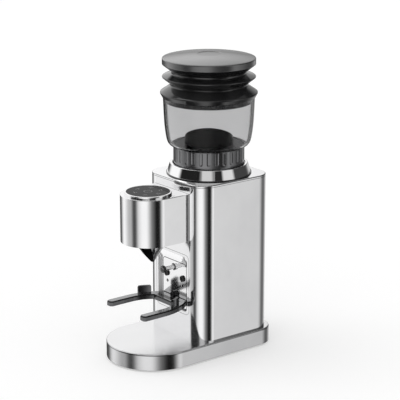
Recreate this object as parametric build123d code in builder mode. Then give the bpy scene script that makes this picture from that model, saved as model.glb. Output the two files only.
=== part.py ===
from build123d import *
import math
import os

os.makedirs("parts", exist_ok=True)

# Burr coffee grinder. Millimetres, floor at z = 0, front towards -Y, right side towards +X.

# Clearances
fit_gap = 0.1
run_gap = 0.3
bearing_gap = 0.05
press_gap = 0.02

# Base: pressed shell with a round nose, closed by a plate, on rubber feet
base_width = 119.2
base_length = 210.8
base_height = 20.7
base_corner = 25.0
base_sheet = 1.5
base_edge = 1.2
foot_height = 2.0
foot_radius = 8.0
foot_stud_radius = 2.0
foot_spread = 34.0
plate_rise = 0.5
base_plate_thickness = 1.5
boss_radius = 4.0
small_screw_radius = 1.5
small_head_radius = 2.8
small_head_height = 1.6
low_head_height = 1.2
large_screw_radius = 2.0
large_head_radius = 3.6
large_head_height = 2.2
screw_bite = 8.0
thread_runout = 1.0

# Column sleeve and its cap
column_width = 111.4
column_depth = 115.4
column_corner = 22.0
column_wall = 1.2
column_height = 198.0
column_rear_step = 6.4
cap_height = 3.1
cap_sheet = 1.5
cap_edge = 1.4

# Head that carries the controls and the spout
head_radius = 34.3
head_reach = 36.85
head_sheet = 1.5
head_height = 57.7
head_drop = 71.9
head_lid_height = 2.0
head_floor_thickness = 2.0
bezel_radius = 29.2
bezel_height = 2.8
glass_radius = 26.9
glass_thickness = 1.8
bezel_wall = 1.5
bezel_depth = 9.0
board_thickness = 1.6
board_chip_width = 14.0
board_chip_length = 10.0
board_chip_height = 2.0
touch_pad_circle = 15.0
touch_pad_radius = 2.2
touch_pad_height = 5.0

# Spout
spout_top_radius = 22.0
spout_tip_radius = 5.6
spout_length = 29.5
spout_wall = 1.2
spout_flange_radius = 24.0
spout_flange_height = 1.5
spout_cut_angle = 56.5

# Recess on the column front with the portafilter fork
pan_side = 25.45
pan_height = 71.9
pan_rise = 34.5
pan_corner = 6.0
pan_depth = 3.5
pan_sheet = 1.5
pan_slope = 9.7
pan_flange = 3.0
pan_screw_inset = 14.2
pan_screw_rise = 40.8
pan_hole_rise = 30.8
pan_hole_radius = 2.0
pan_screw_head_radius = 4.0
pan_screw_head_height = 1.8
pan_screw_length = 6.0
fork_rise = 40.8
fork_thickness = 6.5
fork_inner = 27.0
fork_outer = 40.0
fork_root = 27.5
fork_tongue_inset = 7.0
fork_reach = 33.6
fork_bar = 7.5
fork_inner_round = 14.0
fork_bevel = 0.9
tab_radius = 35.0
tab_thickness = 3.0
tab_height = 11.5
tab_start = 14.0
tab_sweep = 27.0
flange_width = 34.0
flange_height = 8.0
flange_thickness = 3.0
fork_screw_head_radius = 3.3
fork_screw_head_height = 2.2
fork_screw_end = 3.0
peg_radius = 3.0
peg_length = 20.5
peg_rise = 52.8
bumper_radius = 4.6
bumper_length = 3.5

# Collar and adjusting ring
collar_margin = 3.4
collar_taper = 3.8
collar_height = 13.2
collar_wall = 2.4
ring_margin = 4.1
ring_top_rise = 34.8
ring_floor_rise = 2.4
ring_step_rise = 20.3
flute_count = 32
flute_radius = 1.6
flute_height = 17.0

# Hopper
bowl_wall = 2.4
bowl_flare = 11.8
bowl_height = 61.4
bowl_upper_rise = 41.0
bowl_foot_overhang = 0.8
throat_tube_inset = 4.1
throat_wall = 2.9
throat_flange_inset = 2.2
throat_flange_height = 2.2
throat_front_height = 7.0
throat_rear_height = 16.0
ring_wall = 10.1
spigot_depth = 14.0

# Bellows lid
plug_gap = 1.1
plug_wall = 3.0
plug_depth = 9.5
plug_rib = 0.25
lip_overhang = 3.4
lip_foot_overhang = 1.0
lip_height = 7.0
fold_neck_inset = 10.5
fold_overhang = 0.9
fold_wall = 1.6
fold_low_neck = 8.4
fold_fin = 18.1
fold_high_neck = 24.6
disc_overhang = 0.9
disc_rim_low = 33.8
disc_rim_height = 8.0
disc_dome = 5.5
disc_skin = 3.0
disc_mark_radius = 19.0
disc_mark_depth = 0.8

# Grinding chamber and burrs
chamber_depth = 50.6
chamber_floor = 14.0
carrier_shoulder_width = 5.0
chamber_wall = 4.0
chamber_flange_width = 7.0
chamber_flange_height = 5.0
chamber_rim_rise = 2.1
port_half_width = 10.0
port_height = 19.0
port_past = 4.0
sweeper_gap = 2.0
sweeper_height = 6.0
sweeper_lift = 1.0
cone_height = 24.0
cone_foot_radius = 18.5
cone_top_radius = 9.0
burr_radius = 24.0
burr_height = 20.0
burr_lift = 4.0
burr_gap = 0.9
burr_mouth_radius = 17.0
burr_land = 5.0
retainer_thickness = 1.5
retainer_head_radius = 2.6
retainer_head_height = 0.8
carrier_neck_inset = 3.0
carrier_neck_wall = 5.0
carrier_seat = 2.0
key_width = 5.0
key_height = 18.0
key_depth = 2.5
nut_radius = 7.5
nut_height = 6.0
shaft_radius = 5.0
shaft_stud_radius = 4.0
bearing_radius = 11.0
bearing_height = 7.0

# Gearbox and motor: two equal spur stages, motor and burr on one axis
gear_module = 0.8
pinion_teeth = 17
wheel_teeth = 51
tooth_addendum = 0.9
tooth_dedendum = 1.25
tooth_backlash = 0.14
pressure_angle = math.radians(20.0)
gear_face = 9.0
pinion_face = 11.0
gear_lift = 4.0
gearbox_height = 30.0
gearbox_floor = 3.0
gearbox_wall = 3.0
gearbox_clearance = 1.2
cover_thickness = 10.0
cover_screw_sink = 1.8
cover_screw_bite = 9.0
idler_pin_radius = 3.0
motor_plate_thickness = 3.0
motor_plate_margin = 1.2
motor_radius = 27.0
motor_length = 70.0
motor_wall = 1.6
motor_boss_radius = 9.0
motor_shaft_radius = 2.5
motor_bearing_radius = 6.5
motor_bearing_height = 5.0
armature_radius = 19.0
end_cap_height = 6.0
post_radius = 4.0
post_inset = 10.0
post_thread = 10.0

# Power board, gland and vents
power_board_width = 62.0
power_board_length = 58.0
standoff_height = 4.0
gland_radius = 6.0
gland_flange_radius = 8.5
gland_flange_thickness = 2.6
gland_bore_radius = 3.6
gland_rise = 14.0
vent_length = 28.0
vent_height = 3.0
vent_rows = 9
vent_pitch = 8.0
vent_spread = 36.0
vent_rise = 118.0

# Derived positions
base_top = foot_height + base_height
base_plate_low = foot_height + plate_rise
base_plate_top = base_plate_low + base_plate_thickness
base_roof = base_top - base_sheet
nose_y = (base_width - base_length) / 2
axis_y = base_length / 2 - column_rear_step - column_depth / 2
column_front = axis_y - column_depth / 2
head_y = column_front - head_reach
column_rear = axis_y + column_depth / 2
collar_foot_radius = column_width / 2 - collar_margin
collar_top_radius = collar_foot_radius - collar_taper
ring_radius = collar_top_radius - ring_margin
bowl_foot_radius = ring_radius + bowl_foot_overhang
throat_flange_radius = bowl_foot_radius - throat_flange_inset
bowl_rim_radius = bowl_foot_radius + bowl_flare
plug_radius = bowl_rim_radius - bowl_wall - plug_gap
lip_radius = bowl_rim_radius + lip_overhang
lip_foot_radius = bowl_rim_radius + lip_foot_overhang
fold_neck_radius = bowl_rim_radius - fold_neck_inset
fold_fin_radius = bowl_rim_radius + fold_overhang
disc_radius = bowl_rim_radius + disc_overhang
spigot_radius = ring_radius - ring_wall - run_gap
throat_tube_radius = spigot_radius - throat_tube_inset
carrier_neck_radius = spigot_radius - carrier_neck_inset
carrier_throat_radius = carrier_neck_radius - carrier_neck_wall
chamber_bore = carrier_neck_radius + carrier_shoulder_width
sweeper_radius = chamber_bore - sweeper_gap
column_top = base_top + column_height
cap_top = column_top + cap_height
head_low = cap_top - head_drop
head_top = head_low + head_height
lid_top = head_top + head_lid_height
head_floor_top = head_low + head_floor_thickness
pan_low = base_top + pan_rise
pan_width = column_width - 2 * pan_side
pan_screw_spread = pan_width / 2 - pan_screw_inset
fork_tongue = pan_width / 2 - fork_tongue_inset
pan_floor_y = column_front + pan_depth
fork_low = base_top + fork_rise
fork_top = fork_low + fork_thickness
chamber_low = cap_top - chamber_depth
cover_top = chamber_low - chamber_floor
gearbox_top = cover_top - cover_thickness
gearbox_low = gearbox_top - gearbox_height
cover_screw_length = cover_thickness - cover_screw_sink + cover_screw_bite
motor_plate_low = gearbox_low - motor_plate_thickness
gear_low = gearbox_low + gearbox_floor + gear_lift
second_low = gear_low + gear_face + 1.0
chamber_rim = cap_top + chamber_rim_rise
chamber_outer = chamber_bore + chamber_wall
chamber_flange_radius = chamber_outer + chamber_flange_width
port_reach = chamber_outer + port_past
chamber_flange_low = cap_top - cap_sheet - chamber_flange_height
cap_screw_length = chamber_flange_height + cap_sheet - run_gap
sweeper_low = chamber_low + sweeper_lift
cone_low = sweeper_low + sweeper_height
burr_low = cone_low + burr_lift
burr_top = burr_low + burr_height
cone_slope = (cone_foot_radius - cone_top_radius) / cone_height
ring_low = cap_top + ring_floor_rise
ring_step = cap_top + ring_step_rise
ring_top = cap_top + ring_top_rise
carrier_shoulder = cap_top - 0.8
bowl_low = ring_top
bowl_rim = bowl_low + bowl_height
lid_low = bowl_rim
fold_low = lid_low + lip_height
gear_distance = gear_module * (pinion_teeth + wheel_teeth) / 2
wheel_tip = gear_module * (wheel_teeth / 2 + tooth_addendum)
idler_y = axis_y + gear_distance
gearbox_radius = wheel_tip + gearbox_clearance + gearbox_wall

bottom = (Align.CENTER, Align.CENTER, Align.MIN)
top = (Align.CENTER, Align.CENTER, Align.MAX)
spin = Axis((0, axis_y, 0), (0, 0, 1))
head_spin = Axis((0, head_y, 0), (0, 0, 1))
axis_plane = Plane(origin=(0, axis_y, 0), x_dir=(1, 0, 0), z_dir=(0, -1, 0))
head_plane = Plane(origin=(0, head_y, 0), x_dir=(1, 0, 0), z_dir=(0, -1, 0))
front_plane = Plane(origin=(0, column_front, 0), x_dir=(1, 0, 0), z_dir=(0, -1, 0))
rear_plane = Plane(origin=(0, column_rear, 0), x_dir=(-1, 0, 0), z_dir=(0, 1, 0))
forward = (90, 0, 0)
upside_down = (180, 0, 0)


def level(height):
    """Horizontal plane at a height above the floor."""
    return Plane.XY.offset(height)


def axis_level(height):
    """Horizontal plane at a height, centred on the burr axis."""
    return Plane(origin=(0, axis_y, height))


def idler_level(height):
    """Horizontal plane at a height, centred on the idler pin."""
    return Plane(origin=(0, idler_y, height))


def nose_plan(inset):
    """Plan of the base in the current sketch, drawn in by inset."""
    half = base_width / 2 - inset
    rear = base_length / 2 - inset
    corner = base_corner - inset
    with Locations((0, nose_y)):
        Circle(half)
        Rectangle(2 * half, rear - corner - nose_y, align=(Align.CENTER, Align.MIN))
    with Locations((0, rear)):
        RectangleRounded(2 * half, 4 * corner, corner, align=(Align.CENTER, Align.MAX))


def column_plan(inset):
    """Plan of the column in the current sketch, drawn in by inset."""
    with Locations((0, axis_y)):
        RectangleRounded(column_width - 2 * inset, column_depth - 2 * inset, column_corner - inset)


def head_plan(inset):
    """Plan of the head in the current sketch, drawn in by inset, open to the column."""
    with Locations((0, head_y)):
        Circle(head_radius - inset)
        Rectangle(2 * (head_radius - inset), column_front - head_y, align=(Align.CENTER, Align.MIN))
    with Locations((0, column_front)):
        Rectangle(4 * head_radius, head_radius, align=(Align.CENTER, Align.MIN), mode=Mode.SUBTRACT)


def screw(head_radius_mm, head_height_mm, shank_radius_mm, shank_length_mm):
    """Cross-slot screw at the current locations, head below the origin and shank above it."""
    Cylinder(head_radius_mm, head_height_mm, align=top)
    Cylinder(shank_radius_mm, shank_length_mm, align=bottom)
    slot_depth = head_height_mm * 0.5
    with Locations((0, 0, -head_height_mm)):
        Box(head_radius_mm * 1.2, 0.7, slot_depth, align=bottom, mode=Mode.SUBTRACT)
        Box(0.7, head_radius_mm * 1.2, slot_depth, align=bottom, mode=Mode.SUBTRACT)


def gear_outline(teeth):
    """Corner points of a spur gear with involute flanks, one tooth centred on +Y."""
    pitch_radius = gear_module * teeth / 2
    base_radius = pitch_radius * math.cos(pressure_angle)
    tip_radius = pitch_radius + gear_module * tooth_addendum
    root_radius = pitch_radius - gear_module * tooth_dedendum
    half_pitch = math.pi / (2 * teeth) - tooth_backlash / (2 * pitch_radius)
    half_base = half_pitch + math.tan(pressure_angle) - pressure_angle
    start_radius = max(base_radius, root_radius)
    steps = 4
    flank = [(root_radius, half_base)] if root_radius < base_radius else []
    for step in range(steps + 1):
        radius = start_radius + (tip_radius - start_radius) * step / steps
        roll = math.acos(min(1.0, base_radius / radius))
        flank.append((radius, half_base - math.tan(roll) + roll))
    points = []
    for tooth in range(teeth):
        middle = math.pi / 2 + 2 * math.pi * tooth / teeth
        rising = [(radius, middle - angle) for radius, angle in flank]
        falling = [(radius, middle + angle) for radius, angle in reversed(flank)]
        for radius, angle in rising + falling:
            points.append((radius * math.cos(angle), radius * math.sin(angle)))
    return points


# Places of repeated pieces
base_rear = base_length / 2
foot_places = [
    (-foot_spread, base_rear - 16.0),
    (foot_spread, base_rear - 16.0),
    (-foot_spread, nose_y - 18.0),
    (foot_spread, nose_y - 18.0),
]
boss_x = base_width / 2 - base_sheet - boss_radius - 1.0
boss_places = [
    (-boss_x, base_rear - 40.0),
    (boss_x, base_rear - 40.0),
    (-boss_x, nose_y + 8.0),
    (boss_x, nose_y + 8.0),
    (0, nose_y - boss_x),
]
post_x = column_width / 2 - column_wall - post_inset
post_y = column_depth / 2 - column_wall - post_inset
post_places = [
    (-post_x, axis_y - post_y),
    (post_x, axis_y - post_y),
    (-post_x, axis_y + post_y),
    (post_x, axis_y + post_y),
]
board_y = nose_y + 12.0
board_places = [
    (-power_board_width / 2 + 5.0, board_y - power_board_length / 2 + 5.0),
    (power_board_width / 2 - 5.0, board_y - power_board_length / 2 + 5.0),
    (-power_board_width / 2 + 5.0, board_y + power_board_length / 2 - 5.0),
    (power_board_width / 2 - 5.0, board_y + power_board_length / 2 - 5.0),
]
cap_screw_circle = (chamber_outer + chamber_flange_radius) / 2
cover_screw_x = gearbox_radius - gearbox_wall / 2
cover_screw_places = [
    (-cover_screw_x - 2.0, axis_y + gear_distance / 2),
    (cover_screw_x + 2.0, axis_y + gear_distance / 2),
]

# Base shell
with BuildPart() as base_shell:
    with BuildSketch(level(foot_height)):
        nose_plan(0)
    extrude(amount=base_height)
    fillet(base_shell.faces().sort_by(Axis.Z)[-1].edges(), base_edge)
    with BuildSketch(level(foot_height)):
        nose_plan(base_sheet)
    extrude(amount=base_height - base_sheet, mode=Mode.SUBTRACT)
    with Locations(*[(x, y, base_plate_top) for x, y in boss_places]):
        Cylinder(boss_radius, base_roof - base_plate_top, align=bottom)
        Cylinder(
            small_screw_radius + press_gap, screw_bite + thread_runout, align=bottom, mode=Mode.SUBTRACT
        )
    with Locations(*[(x, y, base_roof) for x, y in post_places]):
        Cylinder(large_screw_radius + press_gap, base_sheet, align=bottom, mode=Mode.SUBTRACT)
    with Locations((0, column_front + 22.0, base_roof)):
        Cylinder(9.0, base_sheet, align=bottom, mode=Mode.SUBTRACT)
base_shell.part.label = "base_shell"
export_step(base_shell.part, "parts/base_shell.step")

# Plate that closes the base from below
with BuildPart() as base_plate:
    with BuildSketch(level(base_plate_low)):
        nose_plan(base_sheet + fit_gap)
        with Locations(*boss_places):
            Circle(small_screw_radius + fit_gap, mode=Mode.SUBTRACT)
        with Locations(*foot_places):
            Circle(foot_stud_radius + press_gap, mode=Mode.SUBTRACT)
    extrude(amount=base_plate_thickness)
base_plate.part.label = "base_plate"
export_step(base_plate.part, "parts/base_plate.step")

with BuildPart() as base_plate_screws:
    with Locations(*[(x, y, base_plate_low) for x, y in boss_places]):
        screw(small_head_radius, low_head_height, small_screw_radius, base_plate_thickness + screw_bite)
base_plate_screws.part.label = "base_plate_screws"
export_step(base_plate_screws.part, "parts/base_plate_screws.step")

with BuildPart() as rubber_feet:
    with Locations(*[(x, y, 0) for x, y in foot_places]):
        Cylinder(foot_radius, base_plate_low, align=bottom)
    fillet(rubber_feet.edges().group_by(Axis.Z)[0], 0.7)
    with Locations(*[(x, y, base_plate_low) for x, y in foot_places]):
        Cylinder(foot_stud_radius, base_plate_thickness + 1.5, align=bottom)
rubber_feet.part.label = "rubber_feet"
export_step(rubber_feet.part, "parts/rubber_feet.step")

# Power board on standoffs inside the base
with BuildPart() as board_standoffs:
    with Locations(*[(x, y, base_plate_top) for x, y in board_places]):
        Cylinder(2.8, standoff_height, align=bottom)
board_standoffs.part.label = "board_standoffs"
export_step(board_standoffs.part, "parts/board_standoffs.step")

with BuildPart() as power_board:
    with Locations((0, board_y, base_plate_top + standoff_height)):
        Box(power_board_width, power_board_length, board_thickness, align=bottom)
    with Locations((-14.0, board_y + 8.0, base_plate_top + standoff_height + board_thickness)):
        Box(20.0, 22.0, 7.0, align=bottom)
    with Locations((14.0, board_y + 12.0, base_plate_top + standoff_height + board_thickness)):
        Cylinder(5.0, 8.0, align=bottom)
    with Locations((12.0, board_y - 12.0, base_plate_top + standoff_height + board_thickness)):
        Box(18.0, 8.0, 6.0, align=bottom)
power_board.part.label = "power_board"
export_step(power_board.part, "parts/power_board.step")

# Column sleeve with the windows for the recess and the chute, the vents and the gland hole
chute_half = port_half_width + 3.0
with BuildPart() as column_shell:
    with BuildSketch(level(base_top)):
        column_plan(0)
        with Locations((0, axis_y)):
            RectangleRounded(
                column_width - 2 * column_wall,
                column_depth - 2 * column_wall,
                column_corner - column_wall,
                mode=Mode.SUBTRACT,
            )
    extrude(amount=column_height)
    with BuildSketch(front_plane):
        with Locations((0, pan_low + pan_height / 2)):
            RectangleRounded(pan_width + 2 * fit_gap, pan_height + 2 * fit_gap, pan_corner + fit_gap)
        with Locations((0, (head_floor_top + head_top) / 2)):
            Rectangle(2 * chute_half + 4.0, head_top - head_floor_top - 10.0)
    extrude(amount=-2 * column_wall, mode=Mode.SUBTRACT)
    with BuildSketch(rear_plane):
        with Locations((0, base_top + vent_rise)):
            with GridLocations(vent_spread, vent_pitch, 2, vent_rows):
                SlotOverall(vent_length, vent_height)
        with Locations((0, base_top + gland_rise)):
            Circle(gland_radius + fit_gap)
    extrude(amount=-2 * column_wall, mode=Mode.SUBTRACT)
column_shell.part.label = "column_shell"
export_step(column_shell.part, "parts/column_shell.step")

# Top cap of the column
with BuildPart() as top_cap:
    with BuildSketch(level(column_top)):
        column_plan(0)
    extrude(amount=cap_height)
    fillet(top_cap.faces().sort_by(Axis.Z)[-1].edges(), cap_edge)
    with BuildSketch(level(column_top)):
        column_plan(column_wall)
    extrude(amount=cap_height - cap_sheet, mode=Mode.SUBTRACT)
    with Locations((0, axis_y, column_top)):
        Cylinder(chamber_outer + fit_gap, cap_height, align=bottom, mode=Mode.SUBTRACT)
        with PolarLocations(cap_screw_circle, 4, start_angle=45):
            Cylinder(small_screw_radius + press_gap, cap_height, align=bottom, mode=Mode.SUBTRACT)
top_cap.part.label = "top_cap"
export_step(top_cap.part, "parts/top_cap.step")

with BuildPart() as cap_screws:
    with Locations((0, axis_y, chamber_flange_low)):
        with PolarLocations(cap_screw_circle, 4, start_angle=45):
            screw(small_head_radius, small_head_height, small_screw_radius, cap_screw_length)
cap_screws.part.label = "cap_screws"
export_step(cap_screws.part, "parts/cap_screws.step")

# Polished cone collar round the adjusting ring
with BuildPart() as collar:
    with BuildSketch(axis_plane):
        with BuildLine():
            Polyline(
                (collar_foot_radius, cap_top),
                (collar_foot_radius, cap_top + 1.5),
                (collar_top_radius, cap_top + collar_height),
                (ring_radius + 0.9, cap_top + collar_height),
                (ring_radius + 0.9, cap_top + collar_height - 2.0),
                (collar_top_radius - collar_wall, cap_top + collar_height - 2.0),
                (collar_foot_radius - collar_wall, cap_top + 1.5),
                (collar_foot_radius - collar_wall, cap_top),
                close=True,
            )
        make_face()
    revolve(axis=spin)
collar.part.label = "collar"
export_step(collar.part, "parts/collar.step")

# Recessed pan on the column front, its ceiling sloping inwards
with BuildPart() as fork_pan:
    with BuildSketch(front_plane):
        with Locations((0, pan_low + pan_height / 2)):
            RectangleRounded(pan_width, pan_height, pan_corner)
    extrude(amount=-(pan_depth + pan_sheet))
    with BuildSketch(front_plane.offset(-column_wall)):
        with Locations((0, pan_low + pan_height / 2)):
            RectangleRounded(
                pan_width + 2 * pan_flange, pan_height + 2 * pan_flange, pan_corner + pan_flange
            )
    extrude(amount=-(pan_depth + pan_sheet - column_wall))
    pocket_low = pan_low + 0.8
    pocket_high = pan_low + pan_height - 0.8
    with BuildSketch(front_plane):
        with Locations((0, (pocket_low + pocket_high) / 2)):
            RectangleRounded(pan_width - 1.6, pocket_high - pocket_low, pan_corner - 0.8)
    with BuildSketch(front_plane.offset(-pan_depth)):
        with Locations((0, (pocket_low + pocket_high - pan_slope) / 2)):
            RectangleRounded(pan_width - 3.0, pocket_high - pan_slope - pocket_low, pan_corner - 0.8)
    loft(mode=Mode.SUBTRACT)
    with BuildSketch(front_plane):
        with Locations((-pan_screw_spread, base_top + pan_rise + pan_screw_rise)):
            Circle(small_screw_radius + press_gap)
        with Locations((pan_screw_spread, base_top + pan_rise + pan_screw_rise)):
            Circle(small_screw_radius + press_gap)
        with Locations((-pan_screw_spread + 1.0, pan_low + pan_hole_rise)):
            Circle(pan_hole_radius)
        with Locations((pan_screw_spread - 1.0, pan_low + pan_hole_rise)):
            Circle(pan_hole_radius)
        with Locations((0, pan_low + peg_rise)):
            Circle(peg_radius - 0.8 + press_gap)
        with Locations((0, fork_top + flange_height / 2)):
            Circle(large_screw_radius + press_gap)
    extrude(amount=-(pan_depth + pan_sheet), mode=Mode.SUBTRACT)
fork_pan.part.label = "fork_pan"
export_step(fork_pan.part, "parts/fork_pan.step")

with BuildPart() as pan_screws:
    with Locations(
        Location((-pan_screw_spread, pan_floor_y, pan_low + pan_screw_rise), (-90, 0, 0)),
        Location((pan_screw_spread, pan_floor_y, pan_low + pan_screw_rise), (-90, 0, 0)),
    ):
        screw(pan_screw_head_radius, pan_screw_head_height, small_screw_radius, pan_screw_length)
pan_screws.part.label = "pan_screws"
export_step(pan_screws.part, "parts/pan_screws.step")

# Portafilter fork: two arms, a bar, an upright flange and two curved tabs
fork_tip_y = head_y - fork_reach
fork_bar_y = column_front - fork_bar
with BuildPart() as portafilter_fork:
    with BuildSketch(level(fork_low)) as fork_plan:
        with BuildLine():
            Polyline(
                (0, pan_floor_y),
                (fork_tongue, pan_floor_y),
                (fork_tongue, column_front - 0.4),
                (fork_root, column_front - 0.4),
                (fork_outer, head_y + 6.0),
                (fork_outer, fork_tip_y),
                (fork_inner, fork_tip_y),
                (fork_inner, fork_bar_y),
                (0, fork_bar_y),
                close=True,
            )
        make_face()
        mirror(about=Plane.YZ)
        fillet(fork_plan.vertices().filter_by_position(Axis.Y, fork_tip_y - 0.1, fork_tip_y + 0.1), 2.6)
        inner_corners = fork_plan.vertices().filter_by_position(Axis.Y, fork_bar_y - 0.1, fork_bar_y + 0.1)
        fillet(inner_corners.filter_by(lambda v: abs(v.X) > fork_inner - 1.0), fork_inner_round)
        fillet(fork_plan.vertices().filter_by_position(Axis.Y, head_y + 5.9, head_y + 6.1), 16.0)
    extrude(amount=fork_thickness)
    chamfer(portafilter_fork.faces().sort_by(Axis.Z)[-1].edges(), fork_bevel)
    with BuildSketch(level(fork_top)):
        with Locations((0, (column_front + fork_bar_y) / 2)):
            Rectangle(2 * fork_root - 8.0, 2.4)
    extrude(amount=-1.2, mode=Mode.SUBTRACT)
    with BuildSketch(level(fork_top - 1.0)) as tab_plan:
        with Locations((0, head_y)):
            Circle(tab_radius + tab_thickness)
            Circle(tab_radius, mode=Mode.SUBTRACT)
        low_turn = math.radians(tab_start)
        high_turn = math.radians(tab_start + tab_sweep)
        far = 2 * tab_radius
        with BuildLine():
            Polyline(
                (0, head_y),
                (far * math.cos(low_turn), head_y + far * math.sin(low_turn)),
                (far * math.cos(high_turn), head_y + far * math.sin(high_turn)),
                close=True,
            )
        make_face(mode=Mode.INTERSECT)
        mirror(about=Plane.YZ)
    extrude(amount=tab_height + 1.0)
    tab_rear = portafilter_fork.edges().filter_by(
        lambda e: e.length < tab_thickness + 0.5 and abs(e.center().Z - fork_top - tab_height) < 0.1
    )
    fillet(tab_rear, 2.5)
    with BuildSketch(front_plane.offset(-pan_depth)):
        with Locations((0, fork_top + flange_height / 2 - 1.0)):
            RectangleRounded(flange_width, flange_height + 2.0, 3.0)
        with Locations((0, fork_top + flange_height / 2)):
            Circle(large_screw_radius + fit_gap, mode=Mode.SUBTRACT)
    extrude(amount=flange_thickness)
portafilter_fork.part.label = "portafilter_fork"
export_step(portafilter_fork.part, "parts/portafilter_fork.step")

with BuildPart() as fork_screw:
    with Locations(Location((0, pan_floor_y - flange_thickness, fork_top + flange_height / 2), (-90, 0, 0))):
        screw(
            fork_screw_head_radius,
            fork_screw_head_height,
            large_screw_radius,
            flange_thickness + pan_sheet + fork_screw_end,
        )
fork_screw.part.label = "fork_screw"
export_step(fork_screw.part, "parts/fork_screw.step")

# Peg that keeps the portafilter rim down, with a rubber bumper on its end
with BuildPart() as rest_peg:
    with Locations(Location((0, pan_floor_y, pan_low + peg_rise), forward)):
        Cylinder(peg_radius, peg_length, align=bottom)
        Cylinder(peg_radius - 0.8, pan_sheet + 3.0, align=top)
        Cylinder(peg_radius + 1.6, 1.6, align=bottom)
    fillet(rest_peg.edges().group_by(Axis.Y)[0], 0.6)
rest_peg.part.label = "rest_peg"
export_step(rest_peg.part, "parts/rest_peg.step")

with BuildPart() as peg_bumper:
    bumper_y = pan_floor_y - peg_length + bumper_length + 0.8
    with Locations(Location((0, bumper_y, pan_low + peg_rise), forward)):
        Cylinder(bumper_radius, bumper_length, align=bottom)
        Cylinder(peg_radius + press_gap, bumper_length, align=bottom, mode=Mode.SUBTRACT)
    fillet(peg_bumper.edges().filter_by(GeomType.CIRCLE).sort_by(SortBy.RADIUS)[-2:], 0.9)
peg_bumper.part.label = "peg_bumper"
export_step(peg_bumper.part, "parts/peg_bumper.step")

# Cable gland in the rear wall
with BuildPart() as cable_gland:
    with Locations(Location((0, column_rear, base_top + gland_rise), (-90, 0, 0))):
        Cylinder(gland_flange_radius, gland_flange_thickness, align=bottom)
        Cylinder(gland_radius, column_wall + 4.0, align=top)
        Cylinder(gland_bore_radius, 30.0, mode=Mode.SUBTRACT)
    fillet(cable_gland.edges().group_by(Axis.Y)[-1].sort_by(SortBy.RADIUS)[-1], 1.2)
cable_gland.part.label = "cable_gland"
export_step(cable_gland.part, "parts/cable_gland.step")

# Head: shell, floor, lid, screws
with BuildPart() as snout_shell:
    with BuildSketch(level(head_low)):
        head_plan(0)
    extrude(amount=head_height)
    with BuildSketch(level(head_low)):
        head_plan(head_sheet)
    extrude(amount=head_height, mode=Mode.SUBTRACT)
    with Locations(
        (-head_radius + head_sheet, column_front - 2.0, head_low + 6.0),
        (head_radius - head_sheet, column_front - 2.0, head_low + 6.0),
    ):
        Box(11.0, 2.0, head_height - 12.0, align=(Align.CENTER, Align.MIN, Align.MIN))
    with BuildSketch(level(head_low)):
        with Locations((0, head_y)):
            Rectangle(4 * head_radius, 4 * head_radius)
            Rectangle(2 * head_radius, 4 * head_radius, mode=Mode.SUBTRACT)
    extrude(amount=head_height, mode=Mode.SUBTRACT)
snout_shell.part.label = "snout_shell"
export_step(snout_shell.part, "parts/snout_shell.step")

with BuildPart() as snout_floor:
    with BuildSketch(level(head_low)):
        head_plan(head_sheet + fit_gap)
        with Locations((0, head_y)):
            Circle(spout_top_radius - 1.0 + fit_gap, mode=Mode.SUBTRACT)
    extrude(amount=head_floor_thickness)
snout_floor.part.label = "snout_floor"
export_step(snout_floor.part, "parts/snout_floor.step")

with BuildPart() as snout_lid:
    with BuildSketch(level(head_top)):
        head_plan(0)
    extrude(amount=head_lid_height)
    lid_top_edges = snout_lid.faces().sort_by(Axis.Z)[-1].edges()
    fillet(lid_top_edges.filter_by(lambda e: e.center().Y < column_front - 0.1), 0.8)
    with Locations((0, head_y, head_top)):
        Cylinder(glass_radius - 0.9 + fit_gap, head_lid_height, align=bottom, mode=Mode.SUBTRACT)
snout_lid.part.label = "snout_lid"
export_step(snout_lid.part, "parts/snout_lid.step")

# Touch control: bezel, glass and the board under it
spigot_outer = glass_radius - 0.9
spigot_inner = spigot_outer - bezel_wall
ledge = lid_top + bezel_height - 0.2 - glass_thickness
with BuildPart() as control_bezel:
    with BuildSketch(head_plane):
        with BuildLine():
            Polyline(
                (spigot_inner, lid_top - bezel_depth),
                (spigot_outer, lid_top - bezel_depth),
                (spigot_outer, lid_top),
                (bezel_radius, lid_top),
                (bezel_radius, lid_top + 0.45 * bezel_height),
                (bezel_radius - 1.1, lid_top + bezel_height),
                (glass_radius + fit_gap, lid_top + bezel_height),
                (glass_radius + fit_gap, ledge),
                (spigot_inner, ledge),
                close=True,
            )
        make_face()
    revolve(axis=head_spin)
control_bezel.part.label = "control_bezel"
export_step(control_bezel.part, "parts/control_bezel.step")

with BuildPart() as control_glass:
    with Locations((0, head_y, ledge)):
        Cylinder(glass_radius, glass_thickness, align=bottom)
    fillet(control_glass.edges().group_by(Axis.Z)[-1], 0.3)
control_glass.part.label = "control_glass"
export_step(control_glass.part, "parts/control_glass.step")

with BuildPart() as control_board:
    with Locations((0, head_y, lid_top - bezel_depth)):
        Cylinder(spigot_outer, board_thickness, align=top)
    with Locations((0, head_y, lid_top - bezel_depth)):
        Box(board_chip_width, board_chip_length, board_chip_height, align=bottom)
        with PolarLocations(touch_pad_circle, 3, start_angle=30):
            Cylinder(touch_pad_radius, touch_pad_height, align=bottom)
control_board.part.label = "control_board"
export_step(control_board.part, "parts/control_board.step")

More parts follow.
